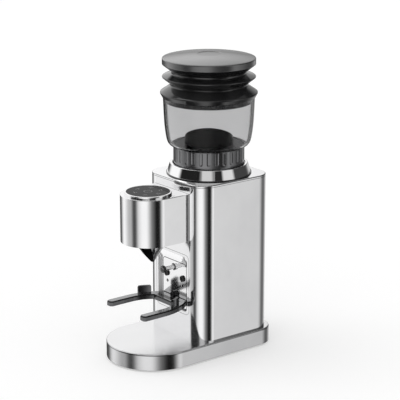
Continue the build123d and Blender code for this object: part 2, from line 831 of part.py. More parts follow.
# Spout: tapered tube whose mouth is cut on the slant, open to the front
spout_high = head_low - spout_flange_height
spout_slope = (spout_top_radius - spout_tip_radius) / (spout_length - spout_flange_height)
with BuildPart() as spout:
    with BuildSketch(head_plane):
        with BuildLine():
            Polyline(
                (0, head_low - spout_length),
                (spout_tip_radius, head_low - spout_length),
                (spout_top_radius, spout_high),
                (spout_flange_radius, spout_high),
                (spout_flange_radius, head_low),
                (spout_top_radius - 1.0, head_low),
                (spout_top_radius - 1.0, head_floor_top),
                (0, head_floor_top),
                close=True,
            )
        make_face()
    revolve(axis=head_spin)
    with BuildSketch(head_plane):
        with BuildLine():
            Polyline(
                (0, head_low - spout_length - 1.0),
                (spout_tip_radius - spout_wall - spout_slope, head_low - spout_length - 1.0),
                (spout_top_radius - spout_wall - 1.0, spout_high),
                (spout_top_radius - spout_wall - 1.0, head_floor_top + 1.0),
                (0, head_floor_top + 1.0),
                close=True,
            )
        make_face()
    revolve(axis=head_spin, mode=Mode.SUBTRACT)
    cut_run = 60.0
    cut_rise = cut_run * math.tan(math.radians(spout_cut_angle))
    cut_y = head_y + spout_tip_radius
    cut_z = head_low - spout_length
    with BuildSketch(Plane.YZ):
        with BuildLine():
            Polyline(
                (cut_y, cut_z),
                (cut_y - (spout_high - 1.0 - cut_z) * cut_run / cut_rise, spout_high - 1.0),
                (cut_y - cut_run, spout_high - 1.0),
                (cut_y - cut_run, cut_z - 5.0),
                (cut_y, cut_z - 5.0),
                close=True,
            )
        make_face()
    extrude(amount=2 * spout_top_radius, both=True, mode=Mode.SUBTRACT)
spout.part.label = "spout"
export_step(spout.part, "parts/spout.step")

# Chute from the chamber port to the spout
chute_rear = axis_y - port_reach
chute_wall = 1.5
chute_front = head_y - spout_top_radius + 0.5
chute_heel = head_y + spout_top_radius - 0.5
chute_floor_high = chamber_low + 0.4
chute_roof_high = chamber_low + port_height + 1.5
chute_shoulder = head_floor_top + 22.0
with BuildPart() as chute:
    with BuildSketch(Plane.YZ):
        with BuildLine():
            Polyline(
                (chute_rear, chute_floor_high - chute_wall),
                (chute_rear, chute_roof_high + chute_wall),
                (head_y + 8.0, chute_roof_high - 2.0),
                (chute_front, chute_shoulder),
                (chute_front, head_floor_top),
                (chute_heel, head_floor_top),
                close=True,
            )
        make_face()
    extrude(amount=port_half_width + chute_wall, both=True)
    with BuildSketch(Plane.YZ):
        with BuildLine():
            Polyline(
                (chute_rear + 1.0, chute_floor_high),
                (chute_rear + 1.0, chute_roof_high),
                (head_y + 8.0, chute_roof_high - 2.0 - 1.6 * chute_wall),
                (chute_front + chute_wall, chute_shoulder - chute_wall),
                (chute_front + chute_wall, head_floor_top - 1.0),
                (chute_heel - 2 * chute_wall, head_floor_top - 1.0),
                (chute_heel - 2 * chute_wall, head_floor_top + chute_wall),
                close=True,
            )
        make_face()
    extrude(amount=port_half_width, both=True, mode=Mode.SUBTRACT)
chute.part.label = "chute"
export_step(chute.part, "parts/chute.step")

# Grinding chamber with the front port and the keyway
with BuildPart() as grind_chamber:
    with Locations((0, axis_y, cover_top)):
        Cylinder(chamber_outer, chamber_rim - cover_top, align=bottom)
    with BuildSketch(axis_level(chamber_flange_low)):
        Circle(chamber_flange_radius)
        RectangleRounded(
            column_width - 2 * (column_wall + run_gap),
            column_depth - 2 * (column_wall + run_gap),
            column_corner - column_wall - run_gap,
            mode=Mode.INTERSECT,
        )
    extrude(amount=chamber_flange_height)
    with Locations((0, axis_y - port_reach, chamber_low - 4.0)):
        Box(
            2 * port_half_width + 6.0,
            port_reach - 20.0,
            port_height + 8.0,
            align=(Align.CENTER, Align.MIN, Align.MIN),
        )
    with Locations((0, axis_y, chamber_low)):
        Cylinder(chamber_bore, chamber_rim - chamber_low, align=bottom, mode=Mode.SUBTRACT)
    with Locations((0, axis_y - port_reach, chamber_low + 0.4)):
        Box(
            2 * port_half_width,
            port_reach - 20.0,
            port_height,
            align=(Align.CENTER, Align.MIN, Align.MIN),
            mode=Mode.SUBTRACT,
        )
    with Locations((0, axis_y, cover_top)):
        Cylinder(shaft_radius + 0.6, chamber_floor, align=bottom, mode=Mode.SUBTRACT)
    with Locations((0, axis_y, chamber_low)):
        Cylinder(bearing_radius + press_gap, bearing_height, align=top, mode=Mode.SUBTRACT)
    with Locations((chamber_bore - 1.0, axis_y, carrier_shoulder)):
        Box(
            key_depth + run_gap + 1.0,
            key_width + 2 * run_gap,
            2 * key_height,
            align=(Align.MIN, Align.CENTER, Align.CENTER),
            mode=Mode.SUBTRACT,
        )
    with Locations((0, axis_y, cap_top - cap_sheet)):
        with PolarLocations(cap_screw_circle, 4, start_angle=45):
            Cylinder(small_screw_radius + fit_gap, chamber_flange_height, align=top, mode=Mode.SUBTRACT)
grind_chamber.part.label = "grind_chamber"
export_step(grind_chamber.part, "parts/grind_chamber.step")

# Shaft bearings
with BuildPart() as upper_bearing:
    with Locations((0, axis_y, chamber_low)):
        Cylinder(bearing_radius, bearing_height, align=top)
        Cylinder(shaft_radius + bearing_gap, bearing_height, align=top, mode=Mode.SUBTRACT)
upper_bearing.part.label = "upper_bearing"
export_step(upper_bearing.part, "parts/upper_bearing.step")

with BuildPart() as lower_bearing:
    with Locations((0, axis_y, gearbox_top)):
        Cylinder(bearing_radius, bearing_height, align=bottom)
        Cylinder(shaft_radius + bearing_gap, bearing_height, align=bottom, mode=Mode.SUBTRACT)
lower_bearing.part.label = "lower_bearing"
export_step(lower_bearing.part, "parts/lower_bearing.step")

# Drive shaft with the threaded stud for the burr nut
with BuildPart() as drive_shaft:
    with Locations((0, axis_y, second_low)):
        Cylinder(shaft_radius, cone_low + 3.0 - second_low, align=bottom)
    with Locations((0, axis_y, cone_low)):
        Cylinder(shaft_stud_radius, cone_height + nut_height, align=bottom)
drive_shaft.part.label = "drive_shaft"
export_step(drive_shaft.part, "parts/drive_shaft.step")

# Sweeper that pushes the grounds to the port
with BuildPart() as sweeper:
    with Locations((0, axis_y, sweeper_low)):
        Cylinder(sweeper_radius, 2.0, align=bottom)
        Cylinder(cone_foot_radius - 4.0, sweeper_height, align=bottom)
        with PolarLocations(cone_foot_radius - 6.0, 4):
            Box(
                sweeper_radius - cone_foot_radius + 5.0,
                2.4,
                sweeper_height,
                align=(Align.MIN, Align.CENTER, Align.MIN),
            )
        Cylinder(shaft_radius + press_gap, sweeper_height, align=bottom, mode=Mode.SUBTRACT)
sweeper.part.label = "sweeper"
export_step(sweeper.part, "parts/sweeper.step")

# Cone burr with cutting grooves
with BuildPart() as cone_burr:
    with BuildSketch(axis_plane):
        with BuildLine():
            Polyline(
                (shaft_radius + press_gap, cone_low),
                (cone_foot_radius - 1.0, cone_low),
                (cone_foot_radius, cone_low + 1.0),
                (cone_top_radius, cone_low + cone_height),
                (shaft_stud_radius + press_gap, cone_low + cone_height),
                (shaft_stud_radius + press_gap, cone_low + 3.0),
                (shaft_radius + press_gap, cone_low + 3.0),
                close=True,
            )
        make_face()
    revolve(axis=spin)
    groove_lean = math.degrees(math.atan(cone_slope))
    with Locations((0, axis_y, cone_low + cone_height / 2 + 3.0)):
        with PolarLocations((cone_foot_radius + cone_top_radius) / 2 - 0.6, 14):
            Box(
                3.0,
                1.4,
                cone_height + 4.0,
                rotation=(18, -groove_lean, 0),
                align=(Align.MIN, Align.CENTER, Align.CENTER),
                mode=Mode.SUBTRACT,
            )
cone_burr.part.label = "cone_burr"
export_step(cone_burr.part, "parts/cone_burr.step")

with BuildPart() as burr_nut:
    with BuildSketch(level(cone_low + cone_height)):
        with Locations((0, axis_y)):
            RegularPolygon(nut_radius, 6)
            Circle(shaft_stud_radius + press_gap, mode=Mode.SUBTRACT)
    extrude(amount=nut_height)
burr_nut.part.label = "burr_nut"
export_step(burr_nut.part, "parts/burr_nut.step")

# Ring burr, held in the carrier by a retainer
burr_foot_bore = cone_foot_radius - cone_slope * burr_lift + burr_gap
burr_waist_bore = burr_foot_bore - cone_slope * burr_land
with BuildPart() as ring_burr:
    with BuildSketch(axis_plane):
        with BuildLine():
            Polyline(
                (burr_foot_bore, burr_low),
                (burr_radius, burr_low),
                (burr_radius, burr_top),
                (burr_mouth_radius, burr_top),
                (burr_waist_bore, burr_low + burr_land),
                close=True,
            )
        make_face()
    revolve(axis=spin)
    with Locations((0, axis_y, burr_low + burr_land + 2.0)):
        with PolarLocations(burr_mouth_radius - 1.5, 18):
            Box(
                3.0,
                1.6,
                burr_height,
                rotation=(-14, 0, 0),
                align=(Align.MIN, Align.CENTER, Align.MIN),
                mode=Mode.SUBTRACT,
            )
ring_burr.part.label = "ring_burr"
export_step(ring_burr.part, "parts/ring_burr.step")

carrier_radius = chamber_bore - run_gap
retainer_circle = (burr_radius + carrier_radius) / 2
carrier_top = ring_step - 1.2
with BuildPart() as burr_carrier:
    with BuildSketch(axis_plane):
        with BuildLine():
            Polyline(
                (burr_radius + press_gap, burr_low),
                (carrier_radius, burr_low),
                (carrier_radius, carrier_shoulder),
                (carrier_neck_radius, carrier_shoulder),
                (carrier_neck_radius, carrier_top),
                (carrier_throat_radius, carrier_top),
                (burr_radius - carrier_seat, burr_top),
                (burr_radius + press_gap, burr_top),
                close=True,
            )
        make_face()
    revolve(axis=spin)
    with Locations((carrier_radius - 1.0, axis_y, carrier_shoulder)):
        Box(key_depth + 1.0, key_width, key_height / 2, align=(Align.MIN, Align.CENTER, Align.MAX))
    with Locations((0, axis_y, burr_low)):
        with PolarLocations(retainer_circle, 3):
            Cylinder(
                small_screw_radius + press_gap,
                screw_bite + thread_runout,
                align=bottom,
                mode=Mode.SUBTRACT,
            )
burr_carrier.part.label = "burr_carrier"
export_step(burr_carrier.part, "parts/burr_carrier.step")

with BuildPart() as burr_retainer:
    with Locations((0, axis_y, burr_low)):
        Cylinder(carrier_radius - 0.7, retainer_thickness, align=top)
        Cylinder(burr_radius - 3.0, retainer_thickness, align=top, mode=Mode.SUBTRACT)
        with PolarLocations(retainer_circle, 3):
            Cylinder(small_screw_radius + fit_gap, retainer_thickness, align=top, mode=Mode.SUBTRACT)
burr_retainer.part.label = "burr_retainer"
export_step(burr_retainer.part, "parts/burr_retainer.step")

with BuildPart() as retainer_screws:
    with Locations((0, axis_y, burr_low - retainer_thickness)):
        with PolarLocations(retainer_circle, 3):
            screw(
                retainer_head_radius,
                retainer_head_height,
                small_screw_radius,
                retainer_thickness + screw_bite,
            )
retainer_screws.part.label = "retainer_screws"
export_step(retainer_screws.part, "parts/retainer_screws.step")

# Gearbox tray, cover and gears
with BuildPart() as gearbox_tray:
    with BuildSketch(level(gearbox_low)):
        with Locations((0, axis_y + gear_distance / 2)):
            SlotCenterToCenter(gear_distance, 2 * gearbox_radius, rotation=90)
    extrude(amount=gearbox_height)
    with Locations(*[(x, y, gearbox_low) for x, y in cover_screw_places]):
        Cylinder(4.0, gearbox_height, align=bottom)
    with BuildSketch(level(gearbox_low + gearbox_floor)):
        with Locations((0, axis_y + gear_distance / 2)):
            SlotCenterToCenter(gear_distance, 2 * (gearbox_radius - gearbox_wall), rotation=90)
    extrude(amount=gearbox_height - gearbox_floor, mode=Mode.SUBTRACT)
    with Locations(*[(x, y, gearbox_top) for x, y in cover_screw_places]):
        Cylinder(small_screw_radius + press_gap, 10.0, align=top, mode=Mode.SUBTRACT)
    with Locations((0, axis_y, gearbox_low)):
        Cylinder(motor_shaft_radius + 1.0, gearbox_floor, align=bottom, mode=Mode.SUBTRACT)
    with Locations((0, idler_y, gearbox_low)):
        Cylinder(idler_pin_radius + press_gap, gearbox_floor, align=bottom, mode=Mode.SUBTRACT)
gearbox_tray.part.label = "gearbox_tray"
export_step(gearbox_tray.part, "parts/gearbox_tray.step")

with BuildPart() as gearbox_cover:
    with BuildSketch(level(gearbox_top)):
        with Locations((0, axis_y + gear_distance / 2)):
            SlotCenterToCenter(gear_distance, 2 * gearbox_radius, rotation=90)
        with Locations(*cover_screw_places):
            Circle(4.0)
    extrude(amount=cover_thickness)
    with Locations((0, axis_y, gearbox_top)):
        Cylinder(shaft_radius + 0.6, cover_thickness, align=bottom, mode=Mode.SUBTRACT)
        Cylinder(bearing_radius + press_gap, bearing_height, align=bottom, mode=Mode.SUBTRACT)
    with Locations((0, idler_y, gearbox_top)):
        Cylinder(idler_pin_radius + press_gap, 5.0, align=bottom, mode=Mode.SUBTRACT)
    with Locations(*[(x, y, gearbox_top) for x, y in cover_screw_places]):
        Cylinder(small_screw_radius + fit_gap, cover_thickness, align=bottom, mode=Mode.SUBTRACT)
        with Locations((0, 0, cover_thickness)):
            Cylinder(small_head_radius + 2 * fit_gap, cover_screw_sink, align=top, mode=Mode.SUBTRACT)
gearbox_cover.part.label = "gearbox_cover"
export_step(gearbox_cover.part, "parts/gearbox_cover.step")

with BuildPart() as gearbox_screws:
    with Locations(
        *[Location((x, y, cover_top - cover_screw_sink), upside_down) for x, y in cover_screw_places]
    ):
        screw(small_head_radius, small_head_height, small_screw_radius, cover_screw_length)
gearbox_screws.part.label = "gearbox_screws"
export_step(gearbox_screws.part, "parts/gearbox_screws.step")

with BuildPart() as idler_pin:
    with Locations((0, idler_y, gearbox_low)):
        Cylinder(idler_pin_radius, gearbox_height + 5.0, align=bottom)
idler_pin.part.label = "idler_pin"
export_step(idler_pin.part, "parts/idler_pin.step")

with BuildPart() as output_gear:
    with BuildSketch(axis_level(second_low + 0.5)):
        with BuildLine():
            Polyline(*gear_outline(wheel_teeth), close=True)
        make_face()
        Circle(shaft_radius + press_gap, mode=Mode.SUBTRACT)
    extrude(amount=gear_face)
output_gear.part.label = "output_gear"
export_step(output_gear.part, "parts/output_gear.step")

with BuildPart() as idler_gear:
    with BuildSketch(idler_level(gear_low)):
        with BuildLine():
            Polyline(*gear_outline(wheel_teeth), close=True)
        make_face()
    extrude(amount=gear_face)
    with BuildSketch(idler_level(gear_low + gear_face)):
        with BuildLine():
            Polyline(*gear_outline(pinion_teeth), close=True)
        make_face()
    extrude(amount=pinion_face)
    with Locations((0, idler_y, gear_low)):
        Cylinder(idler_pin_radius + bearing_gap, gear_face + pinion_face, align=bottom, mode=Mode.SUBTRACT)
idler_gear.part.label = "idler_gear"
export_step(idler_gear.part, "parts/idler_gear.step")

with BuildPart() as motor_pinion:
    with BuildSketch(axis_level(gear_low - 1.0)):
        with BuildLine():
            Polyline(*gear_outline(pinion_teeth), close=True)
        make_face()
        Circle(motor_shaft_radius + press_gap, mode=Mode.SUBTRACT)
    extrude(amount=gear_face + 1.0)
motor_pinion.part.label = "motor_pinion"
export_step(motor_pinion.part, "parts/motor_pinion.step")

# Motor plate on four posts
with BuildPart() as motor_plate:
    with BuildSketch(level(motor_plate_low)):
        column_plan(column_wall + motor_plate_margin)
        with Locations((0, axis_y)):
            Circle(motor_boss_radius + fit_gap, mode=Mode.SUBTRACT)
        with Locations(*post_places):
            Circle(large_screw_radius + fit_gap, mode=Mode.SUBTRACT)
        with Locations((0, column_front)):
            Rectangle(
                pan_width + 2 * pan_flange + 2.0,
                pan_depth + pan_sheet + 1.0,
                align=(Align.CENTER, Align.MIN),
                mode=Mode.SUBTRACT,
            )
    extrude(amount=motor_plate_thickness)
motor_plate.part.label = "motor_plate"
export_step(motor_plate.part, "parts/motor_plate.step")

with BuildPart() as support_posts:
    with Locations(*[(x, y, base_top) for x, y in post_places]):
        Cylinder(post_radius, motor_plate_low - base_top, align=bottom)
        Cylinder(large_screw_radius + press_gap, post_thread, align=bottom, mode=Mode.SUBTRACT)
    with Locations(*[(x, y, motor_plate_low) for x, y in post_places]):
        Cylinder(large_screw_radius + press_gap, post_thread, align=top, mode=Mode.SUBTRACT)
support_posts.part.label = "support_posts"
export_step(support_posts.part, "parts/support_posts.step")

with BuildPart() as post_screws:
    with Locations(*[(x, y, base_roof) for x, y in post_places]):
        screw(large_head_radius, large_head_height, large_screw_radius, base_sheet + screw_bite)
    with Locations(
        *[Location((x, y, motor_plate_low + motor_plate_thickness), upside_down) for x, y in post_places]
    ):
        screw(large_head_radius, large_head_height, large_screw_radius, motor_plate_thickness + screw_bite)
post_screws.part.label = "post_screws"
export_step(post_screws.part, "parts/post_screws.step")

# Motor: can, end cap, bearings and armature
motor_low = motor_plate_low - motor_length
with BuildPart() as motor_can:
    with Locations((0, axis_y, motor_low)):
        Cylinder(motor_radius, motor_length, align=bottom)
        Cylinder(motor_radius - motor_wall, motor_length - 2.5, align=bottom, mode=Mode.SUBTRACT)
    with Locations((0, axis_y, motor_plate_low)):
        Cylinder(motor_boss_radius, motor_plate_thickness - 0.2, align=bottom)
        Cylinder(motor_boss_radius, motor_bearing_height, align=top)
        Cylinder(motor_shaft_radius + 0.6, motor_plate_thickness, align=bottom, mode=Mode.SUBTRACT)
        Cylinder(motor_bearing_radius + press_gap, motor_bearing_height, align=top, mode=Mode.SUBTRACT)
motor_can.part.label = "motor_can"
export_step(motor_can.part, "parts/motor_can.step")

with BuildPart() as motor_end_cap:
    with Locations((0, axis_y, motor_low)):
        Cylinder(motor_radius, end_cap_height, align=top)
        Cylinder(motor_radius - motor_wall - fit_gap, 3.0, align=bottom)
        Cylinder(motor_radius - 3 * motor_wall, 3.0, align=bottom, mode=Mode.SUBTRACT)
        Cylinder(motor_bearing_radius + press_gap, motor_bearing_height, align=top, mode=Mode.SUBTRACT)
    fillet(motor_end_cap.edges().group_by(Axis.Z)[0], 2.0)
motor_end_cap.part.label = "motor_end_cap"
export_step(motor_end_cap.part, "parts/motor_end_cap.step")

with BuildPart() as motor_bearings:
    with Locations((0, axis_y, motor_low), (0, axis_y, motor_plate_low)):
        Cylinder(motor_bearing_radius, motor_bearing_height, align=top)
        Cylinder(motor_shaft_radius + bearing_gap, motor_bearing_height, align=top, mode=Mode.SUBTRACT)
motor_bearings.part.label = "motor_bearings"
export_step(motor_bearings.part, "parts/motor_bearings.step")

with BuildPart() as motor_armature:
    shaft_low = motor_low - motor_bearing_height + 0.5
    with Locations((0, axis_y, shaft_low)):
        Cylinder(motor_shaft_radius, gear_low + gear_face - shaft_low - 0.5, align=bottom)
    with Locations((0, axis_y, motor_low + 18.0)):
        Cylinder(armature_radius, motor_length - 32.0, align=bottom)
    with Locations((0, axis_y, motor_low + 5.0)):
        Cylinder(armature_radius * 0.5, 11.0, align=bottom)
motor_armature.part.label = "motor_armature"
export_step(motor_armature.part, "parts/motor_armature.step")

# Adjusting ring with grip flutes
with BuildPart() as adjusting_ring:
    with BuildSketch(axis_plane):
        with BuildLine():
            Polyline(
                (carrier_neck_radius + run_gap, ring_low),
                (ring_radius, ring_low),
                (ring_radius, ring_top - 1.0),
                (ring_radius - 1.0, ring_top),
                (spigot_radius + run_gap, ring_top),
                (spigot_radius + run_gap, ring_step),
                (carrier_neck_radius + run_gap, ring_step),
                close=True,
            )
        make_face()
    revolve(axis=spin)
    with Locations((0, axis_y, ring_top + 1.0)):
        with PolarLocations(ring_radius + 0.5, flute_count):
            Cylinder(flute_radius, flute_height + 1.0, align=top, mode=Mode.SUBTRACT)
adjusting_ring.part.label = "adjusting_ring"
export_step(adjusting_ring.part, "parts/adjusting_ring.step")

# Hopper bowl
bowl_points = [
    (bowl_foot_radius, bowl_low),
    (bowl_foot_radius + 4.3, bowl_low + 3.6),
    (bowl_rim_radius - 5.8, bowl_low + 7.4),
    (bowl_rim_radius - 3.7, bowl_low + 15.5),
    (bowl_rim_radius - 2.1, bowl_low + 24.0),
    (bowl_rim_radius - 0.9, bowl_low + bowl_upper_rise),
    (bowl_rim_radius, bowl_rim),
]
inner_points = [
    (bowl_foot_radius - 1.4, bowl_low + bowl_wall),
    (bowl_foot_radius + 2.6, bowl_low + bowl_wall + 3.0),
    (bowl_rim_radius - 5.4 - bowl_wall, bowl_low + bowl_wall + 7.2),
    (bowl_rim_radius - 3.5 - bowl_wall, bowl_low + bowl_wall + 15.0),
    (bowl_rim_radius - 2.0 - bowl_wall, bowl_low + bowl_wall + 23.0),
    (bowl_rim_radius - 0.9 - bowl_wall, bowl_low + bowl_upper_rise),
    (bowl_rim_radius - bowl_wall, bowl_rim),
]
floor_hole = spigot_radius + run_gap
with BuildPart() as hopper_bowl:
    with BuildSketch(axis_plane):
        with BuildLine():
            Spline(*bowl_points)
            Line(bowl_points[-1], inner_points[-1])
            Spline(*inner_points)
            Polyline(
                inner_points[0],
                (floor_hole, bowl_low + bowl_wall),
                (floor_hole, bowl_low),
                bowl_points[0],
            )
        make_face()
    revolve(axis=spin)
hopper_bowl.part.label = "hopper_bowl"
export_step(hopper_bowl.part, "parts/hopper_bowl.step")

# Hopper throat: flange on the bowl floor, spigot below it, guard tube with a slanted top above it
throat_low = bowl_low + bowl_wall
throat_top = throat_low + throat_flange_height
throat_bore = throat_tube_radius - throat_wall
with BuildPart() as hopper_throat:
    with Locations((0, axis_y, throat_low)):
        Cylinder(throat_flange_radius, throat_flange_height, align=bottom)
        Cylinder(throat_tube_radius, throat_flange_height + throat_rear_height, align=bottom)
    with Locations((0, axis_y, throat_low)):
        Cylinder(spigot_radius, spigot_depth, align=top)
    with Locations((0, axis_y, throat_low - spigot_depth)):
        Cylinder(
            throat_bore,
            spigot_depth + throat_flange_height + throat_rear_height,
            align=bottom,
            mode=Mode.SUBTRACT,
        )
    with BuildSketch(Plane.YZ):
        with BuildLine():
            Polyline(
                (axis_y - throat_tube_radius - 1.0, throat_top + throat_front_height),
                (axis_y + throat_tube_radius + 1.0, throat_top + throat_rear_height),
                (axis_y + throat_tube_radius + 1.0, throat_top + throat_rear_height + 30.0),
                (axis_y - throat_tube_radius - 1.0, throat_top + throat_rear_height + 30.0),
                close=True,
            )
        make_face()
    extrude(amount=2 * throat_tube_radius, both=True, mode=Mode.SUBTRACT)
hopper_throat.part.label = "hopper_throat"
export_step(hopper_throat.part, "parts/hopper_throat.step")

# Bellows lid: plug ring with a lip, folds, push disc
plug_bore = plug_radius - plug_wall
fold_foot_inner = lip_radius - 2.2 - fold_wall
with BuildPart() as lid_plug:
    with BuildSketch(axis_plane):
        with BuildLine():
            Polyline(
                (plug_bore, lid_low - plug_depth),
                (plug_radius, lid_low - plug_depth),
                (plug_radius, lid_low - 6.8),
                (plug_radius - 0.6, lid_low - 6.6),
                (plug_radius - 0.6, lid_low - 5.2),
                (plug_radius, lid_low - 5.0),
                (plug_radius, lid_low - 3.2),
                (plug_radius - 0.6, lid_low - 3.0),
                (plug_radius - 0.6, lid_low),
                (lip_foot_radius, lid_low),
                (lip_radius, lid_low + lip_height - 2.2),
                (lip_radius, lid_low + lip_height - 1.0),
                (lip_radius - 1.0, lid_low + lip_height),
                (plug_bore, lid_low + lip_height),
                close=True,
            )
        make_face()
    revolve(axis=spin)
lid_plug.part.label = "lid_plug"
export_step(lid_plug.part, "parts/lid_plug.step")

with BuildPart() as bellows:
    with BuildSketch(axis_plane):
        with BuildLine():
            Polyline(
                (lip_radius - 1.6, fold_low),
                (fold_neck_radius, fold_low + fold_low_neck - 0.8),
                (fold_neck_radius, fold_low + fold_low_neck + 0.8),
                (fold_fin_radius, fold_low + fold_fin - 0.7),
                (fold_fin_radius, fold_low + fold_fin + 0.7),
                (fold_neck_radius, fold_low + fold_high_neck),
                (fold_neck_radius - fold_wall, fold_low + fold_high_neck),
                (fold_neck_radius - fold_wall, fold_low + fold_high_neck - 0.6),
                (fold_fin_radius - 3.2 * fold_wall, fold_low + fold_fin),
                (fold_neck_radius - fold_wall, fold_low + fold_low_neck + 1.6),
                (fold_neck_radius - fold_wall, fold_low + fold_low_neck - 1.6),
                (lip_radius - 1.6 - 3.2 * fold_wall, fold_low),
                close=True,
            )
        make_face()
    revolve(axis=spin)
bellows.part.label = "bellows"
export_step(bellows.part, "parts/bellows.step")

disc_low = fold_low + fold_high_neck
disc_rim = fold_low + disc_rim_low
disc_top = disc_rim + disc_rim_height
with BuildPart() as push_disc:
    with BuildSketch(axis_plane):
        with BuildLine():
            Polyline(
                (0, disc_top + disc_dome - 7.0),
                (0, disc_top - disc_skin),
                (fold_neck_radius - fold_wall - 1.0, disc_top - disc_skin - 1.0),
                (fold_neck_radius - fold_wall - 1.0, disc_low),
                (fold_neck_radius, disc_low),
                (disc_radius, disc_rim),
                (disc_radius, disc_top - 1.5),
                (disc_radius - 1.2, disc_top),
            )
            ThreePointArc(
                (disc_radius - 1.2, disc_top),
                (disc_radius * 0.55, disc_top + disc_dome * 0.7),
                (0, disc_top + disc_dome),
            )
            Line((0, disc_top + disc_dome), (0, disc_top + disc_dome - 7.0))
        make_face()
    revolve(axis=spin)
    with Locations((0, axis_y, disc_top + disc_dome - disc_mark_depth)):
        Cylinder(disc_mark_radius, disc_mark_depth + 2.0, align=bottom, mode=Mode.SUBTRACT)
push_disc.part.label = "push_disc"
export_step(push_disc.part, "parts/push_disc.step")
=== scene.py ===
"""Visual model of a burr coffee grinder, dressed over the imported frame."""

import logging
import math
from collections.abc import Callable, Sequence
from dataclasses import dataclass, field
from enum import Enum

import bmesh
import bpy
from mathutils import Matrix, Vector

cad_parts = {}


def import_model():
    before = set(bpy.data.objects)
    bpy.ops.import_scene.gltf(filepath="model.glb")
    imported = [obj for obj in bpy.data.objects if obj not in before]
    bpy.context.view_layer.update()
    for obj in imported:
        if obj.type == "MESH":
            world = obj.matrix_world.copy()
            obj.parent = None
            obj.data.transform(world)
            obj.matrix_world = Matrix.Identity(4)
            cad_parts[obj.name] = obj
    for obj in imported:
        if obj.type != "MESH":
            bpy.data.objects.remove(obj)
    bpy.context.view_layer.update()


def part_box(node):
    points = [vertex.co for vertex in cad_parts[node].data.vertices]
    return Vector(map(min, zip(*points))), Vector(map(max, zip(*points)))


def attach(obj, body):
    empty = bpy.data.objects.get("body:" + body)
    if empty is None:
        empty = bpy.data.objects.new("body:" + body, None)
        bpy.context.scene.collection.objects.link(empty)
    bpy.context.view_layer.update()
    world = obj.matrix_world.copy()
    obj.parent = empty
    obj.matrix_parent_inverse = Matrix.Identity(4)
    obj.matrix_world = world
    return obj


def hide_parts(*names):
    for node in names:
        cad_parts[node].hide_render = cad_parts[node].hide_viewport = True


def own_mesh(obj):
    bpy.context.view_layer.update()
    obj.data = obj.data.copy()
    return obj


LOG = logging.getLogger("grinder")
MM = 0.001
WELD = 1e-7  # metres within which points of a new mesh are one
SOLID_WELD = 2e-6  # the same for a copy of a solid
FULL_TURN = 2 * math.pi
CRISP = 35.0  # degrees above which an edge stays crisp
ROUND = 192  # steps round a large turned piece
SWEEP = 144  # steps round a piece whose section changes
LEAST_RADIUS = 0.05  # corner radius in millimetres that an inset always leaves
FACING = 0.7  # share of a normal along an axis from which a face looks that way
LEVEL = 0.98  # share of a normal that points up on a flat top
# Sockets of a mix node that blends colours
MIX_SHARE, MIX_FIRST, MIX_SECOND, MIX_COLOUR = 0, 6, 7, 2

Point2 = tuple[float, float]
Point3 = tuple[float, float, float]
Span = tuple[float, float]
Insets = tuple[float, float, float]
Colour = tuple[float, float, float]
Plan = Callable[[float], list[Point2]]
Rings = list[tuple[list[Point2], float]]
Picks = Callable[[Vector, Vector], bool]
Piece = bpy.types.Object
Tree = bpy.types.NodeTree
Node = bpy.types.Node
Socket = bpy.types.NodeSocket


class Body(str, Enum):
    """Bodies of the frame that pieces ride on."""

    GRINDER = "grinder_body"
    ADJUSTER = "adjuster"
    HOPPER = "hopper"
    LID = "bellows_lid"
    PUSH = "push_top"


class Coverage(Enum):
    """How a finish treats light that reaches it."""

    OPAQUE = "opaque"
    CLEAR = "clear"


# Profiles and plans


def polar(centre: Point2, radius: float, angle: float) -> Point2:
    """Point at a distance and an angle in radians from a centre."""
    return centre[0] + radius * math.cos(angle), centre[1] + radius * math.sin(angle)


def arc(centre: Point2, radius: float, start: float, end: float, steps: int) -> list[Point2]:
    """Points on an arc.

    Args:
        centre: Centre of the arc.
        radius: Radius in millimetres.
        start: First angle in degrees.
        end: Last angle in degrees.
        steps: Number of chords.

    Returns:
        The points, both ends included.
    """
    turns = [math.radians(start + (end - start) * step / steps) for step in range(steps + 1)]
    return [polar(centre, radius, turn) for turn in turns]


def softened(points: Sequence[Point2], radii: Sequence[float], steps: int = 5) -> list[Point2]:
    """A closed profile with its corners rounded.

    Args:
        points: Corners of the profile in order.
        radii: Radius at each corner, 0 to keep it sharp.
        steps: Chords in each rounded corner.

    Returns:
        The rounded profile.
    """
    straight = math.radians(179)
    most = 0.48  # share of a side that one corner may take
    result: list[Point2] = []
    count = len(points)
    for index, corner in enumerate(points):
        here = Vector(corner)
        before = Vector(points[index - 1]) - here
        after = Vector(points[(index + 1) % count]) - here
        radius = radii[index]
        spread = before.angle(after) if before.length and after.length else math.pi
        if radius <= 0 or spread > straight:
            result.append(corner)
            continue
        reach = min(radius / math.tan(spread / 2), most * before.length, most * after.length)
        first = here + before.normalized() * reach
        last = here + after.normalized() * reach
        for step in range(steps + 1):
            share = step / steps
            point = first.lerp(here, share).lerp(here.lerp(last, share), share)
            result.append((point.x, point.y))
    return result


def rounded_box_plan(
    centre: Point2, width: float, depth: float, corner: float, steps: int
) -> Plan:
    """Plan of a box with rounded corners.

    Args:
        centre: Middle of the box.
        width: Size along X.
        depth: Size along Y.
        corner: Corner radius.
        steps: Chords in each corner.

    Returns:
        A function that gives the outline drawn in by an inset.
    """

    def outline(inset: float) -> list[Point2]:
        """The outline drawn in by an inset.

        Args:
            inset: Distance from the box's own outline.

        Returns:
            The points in order.
        """
        half_x = width / 2 - corner
        half_y = depth / 2 - corner
        radius = max(corner - inset, LEAST_RADIUS)
        points: list[Point2] = []
        for turn, (sign_x, sign_y) in enumerate(((1, 1), (-1, 1), (-1, -1), (1, -1))):
            middle = (centre[0] + sign_x * half_x, centre[1] + sign_y * half_y)
            points += arc(middle, radius, 90 * turn, 90 * turn + 90, steps)
        return points

    return outline


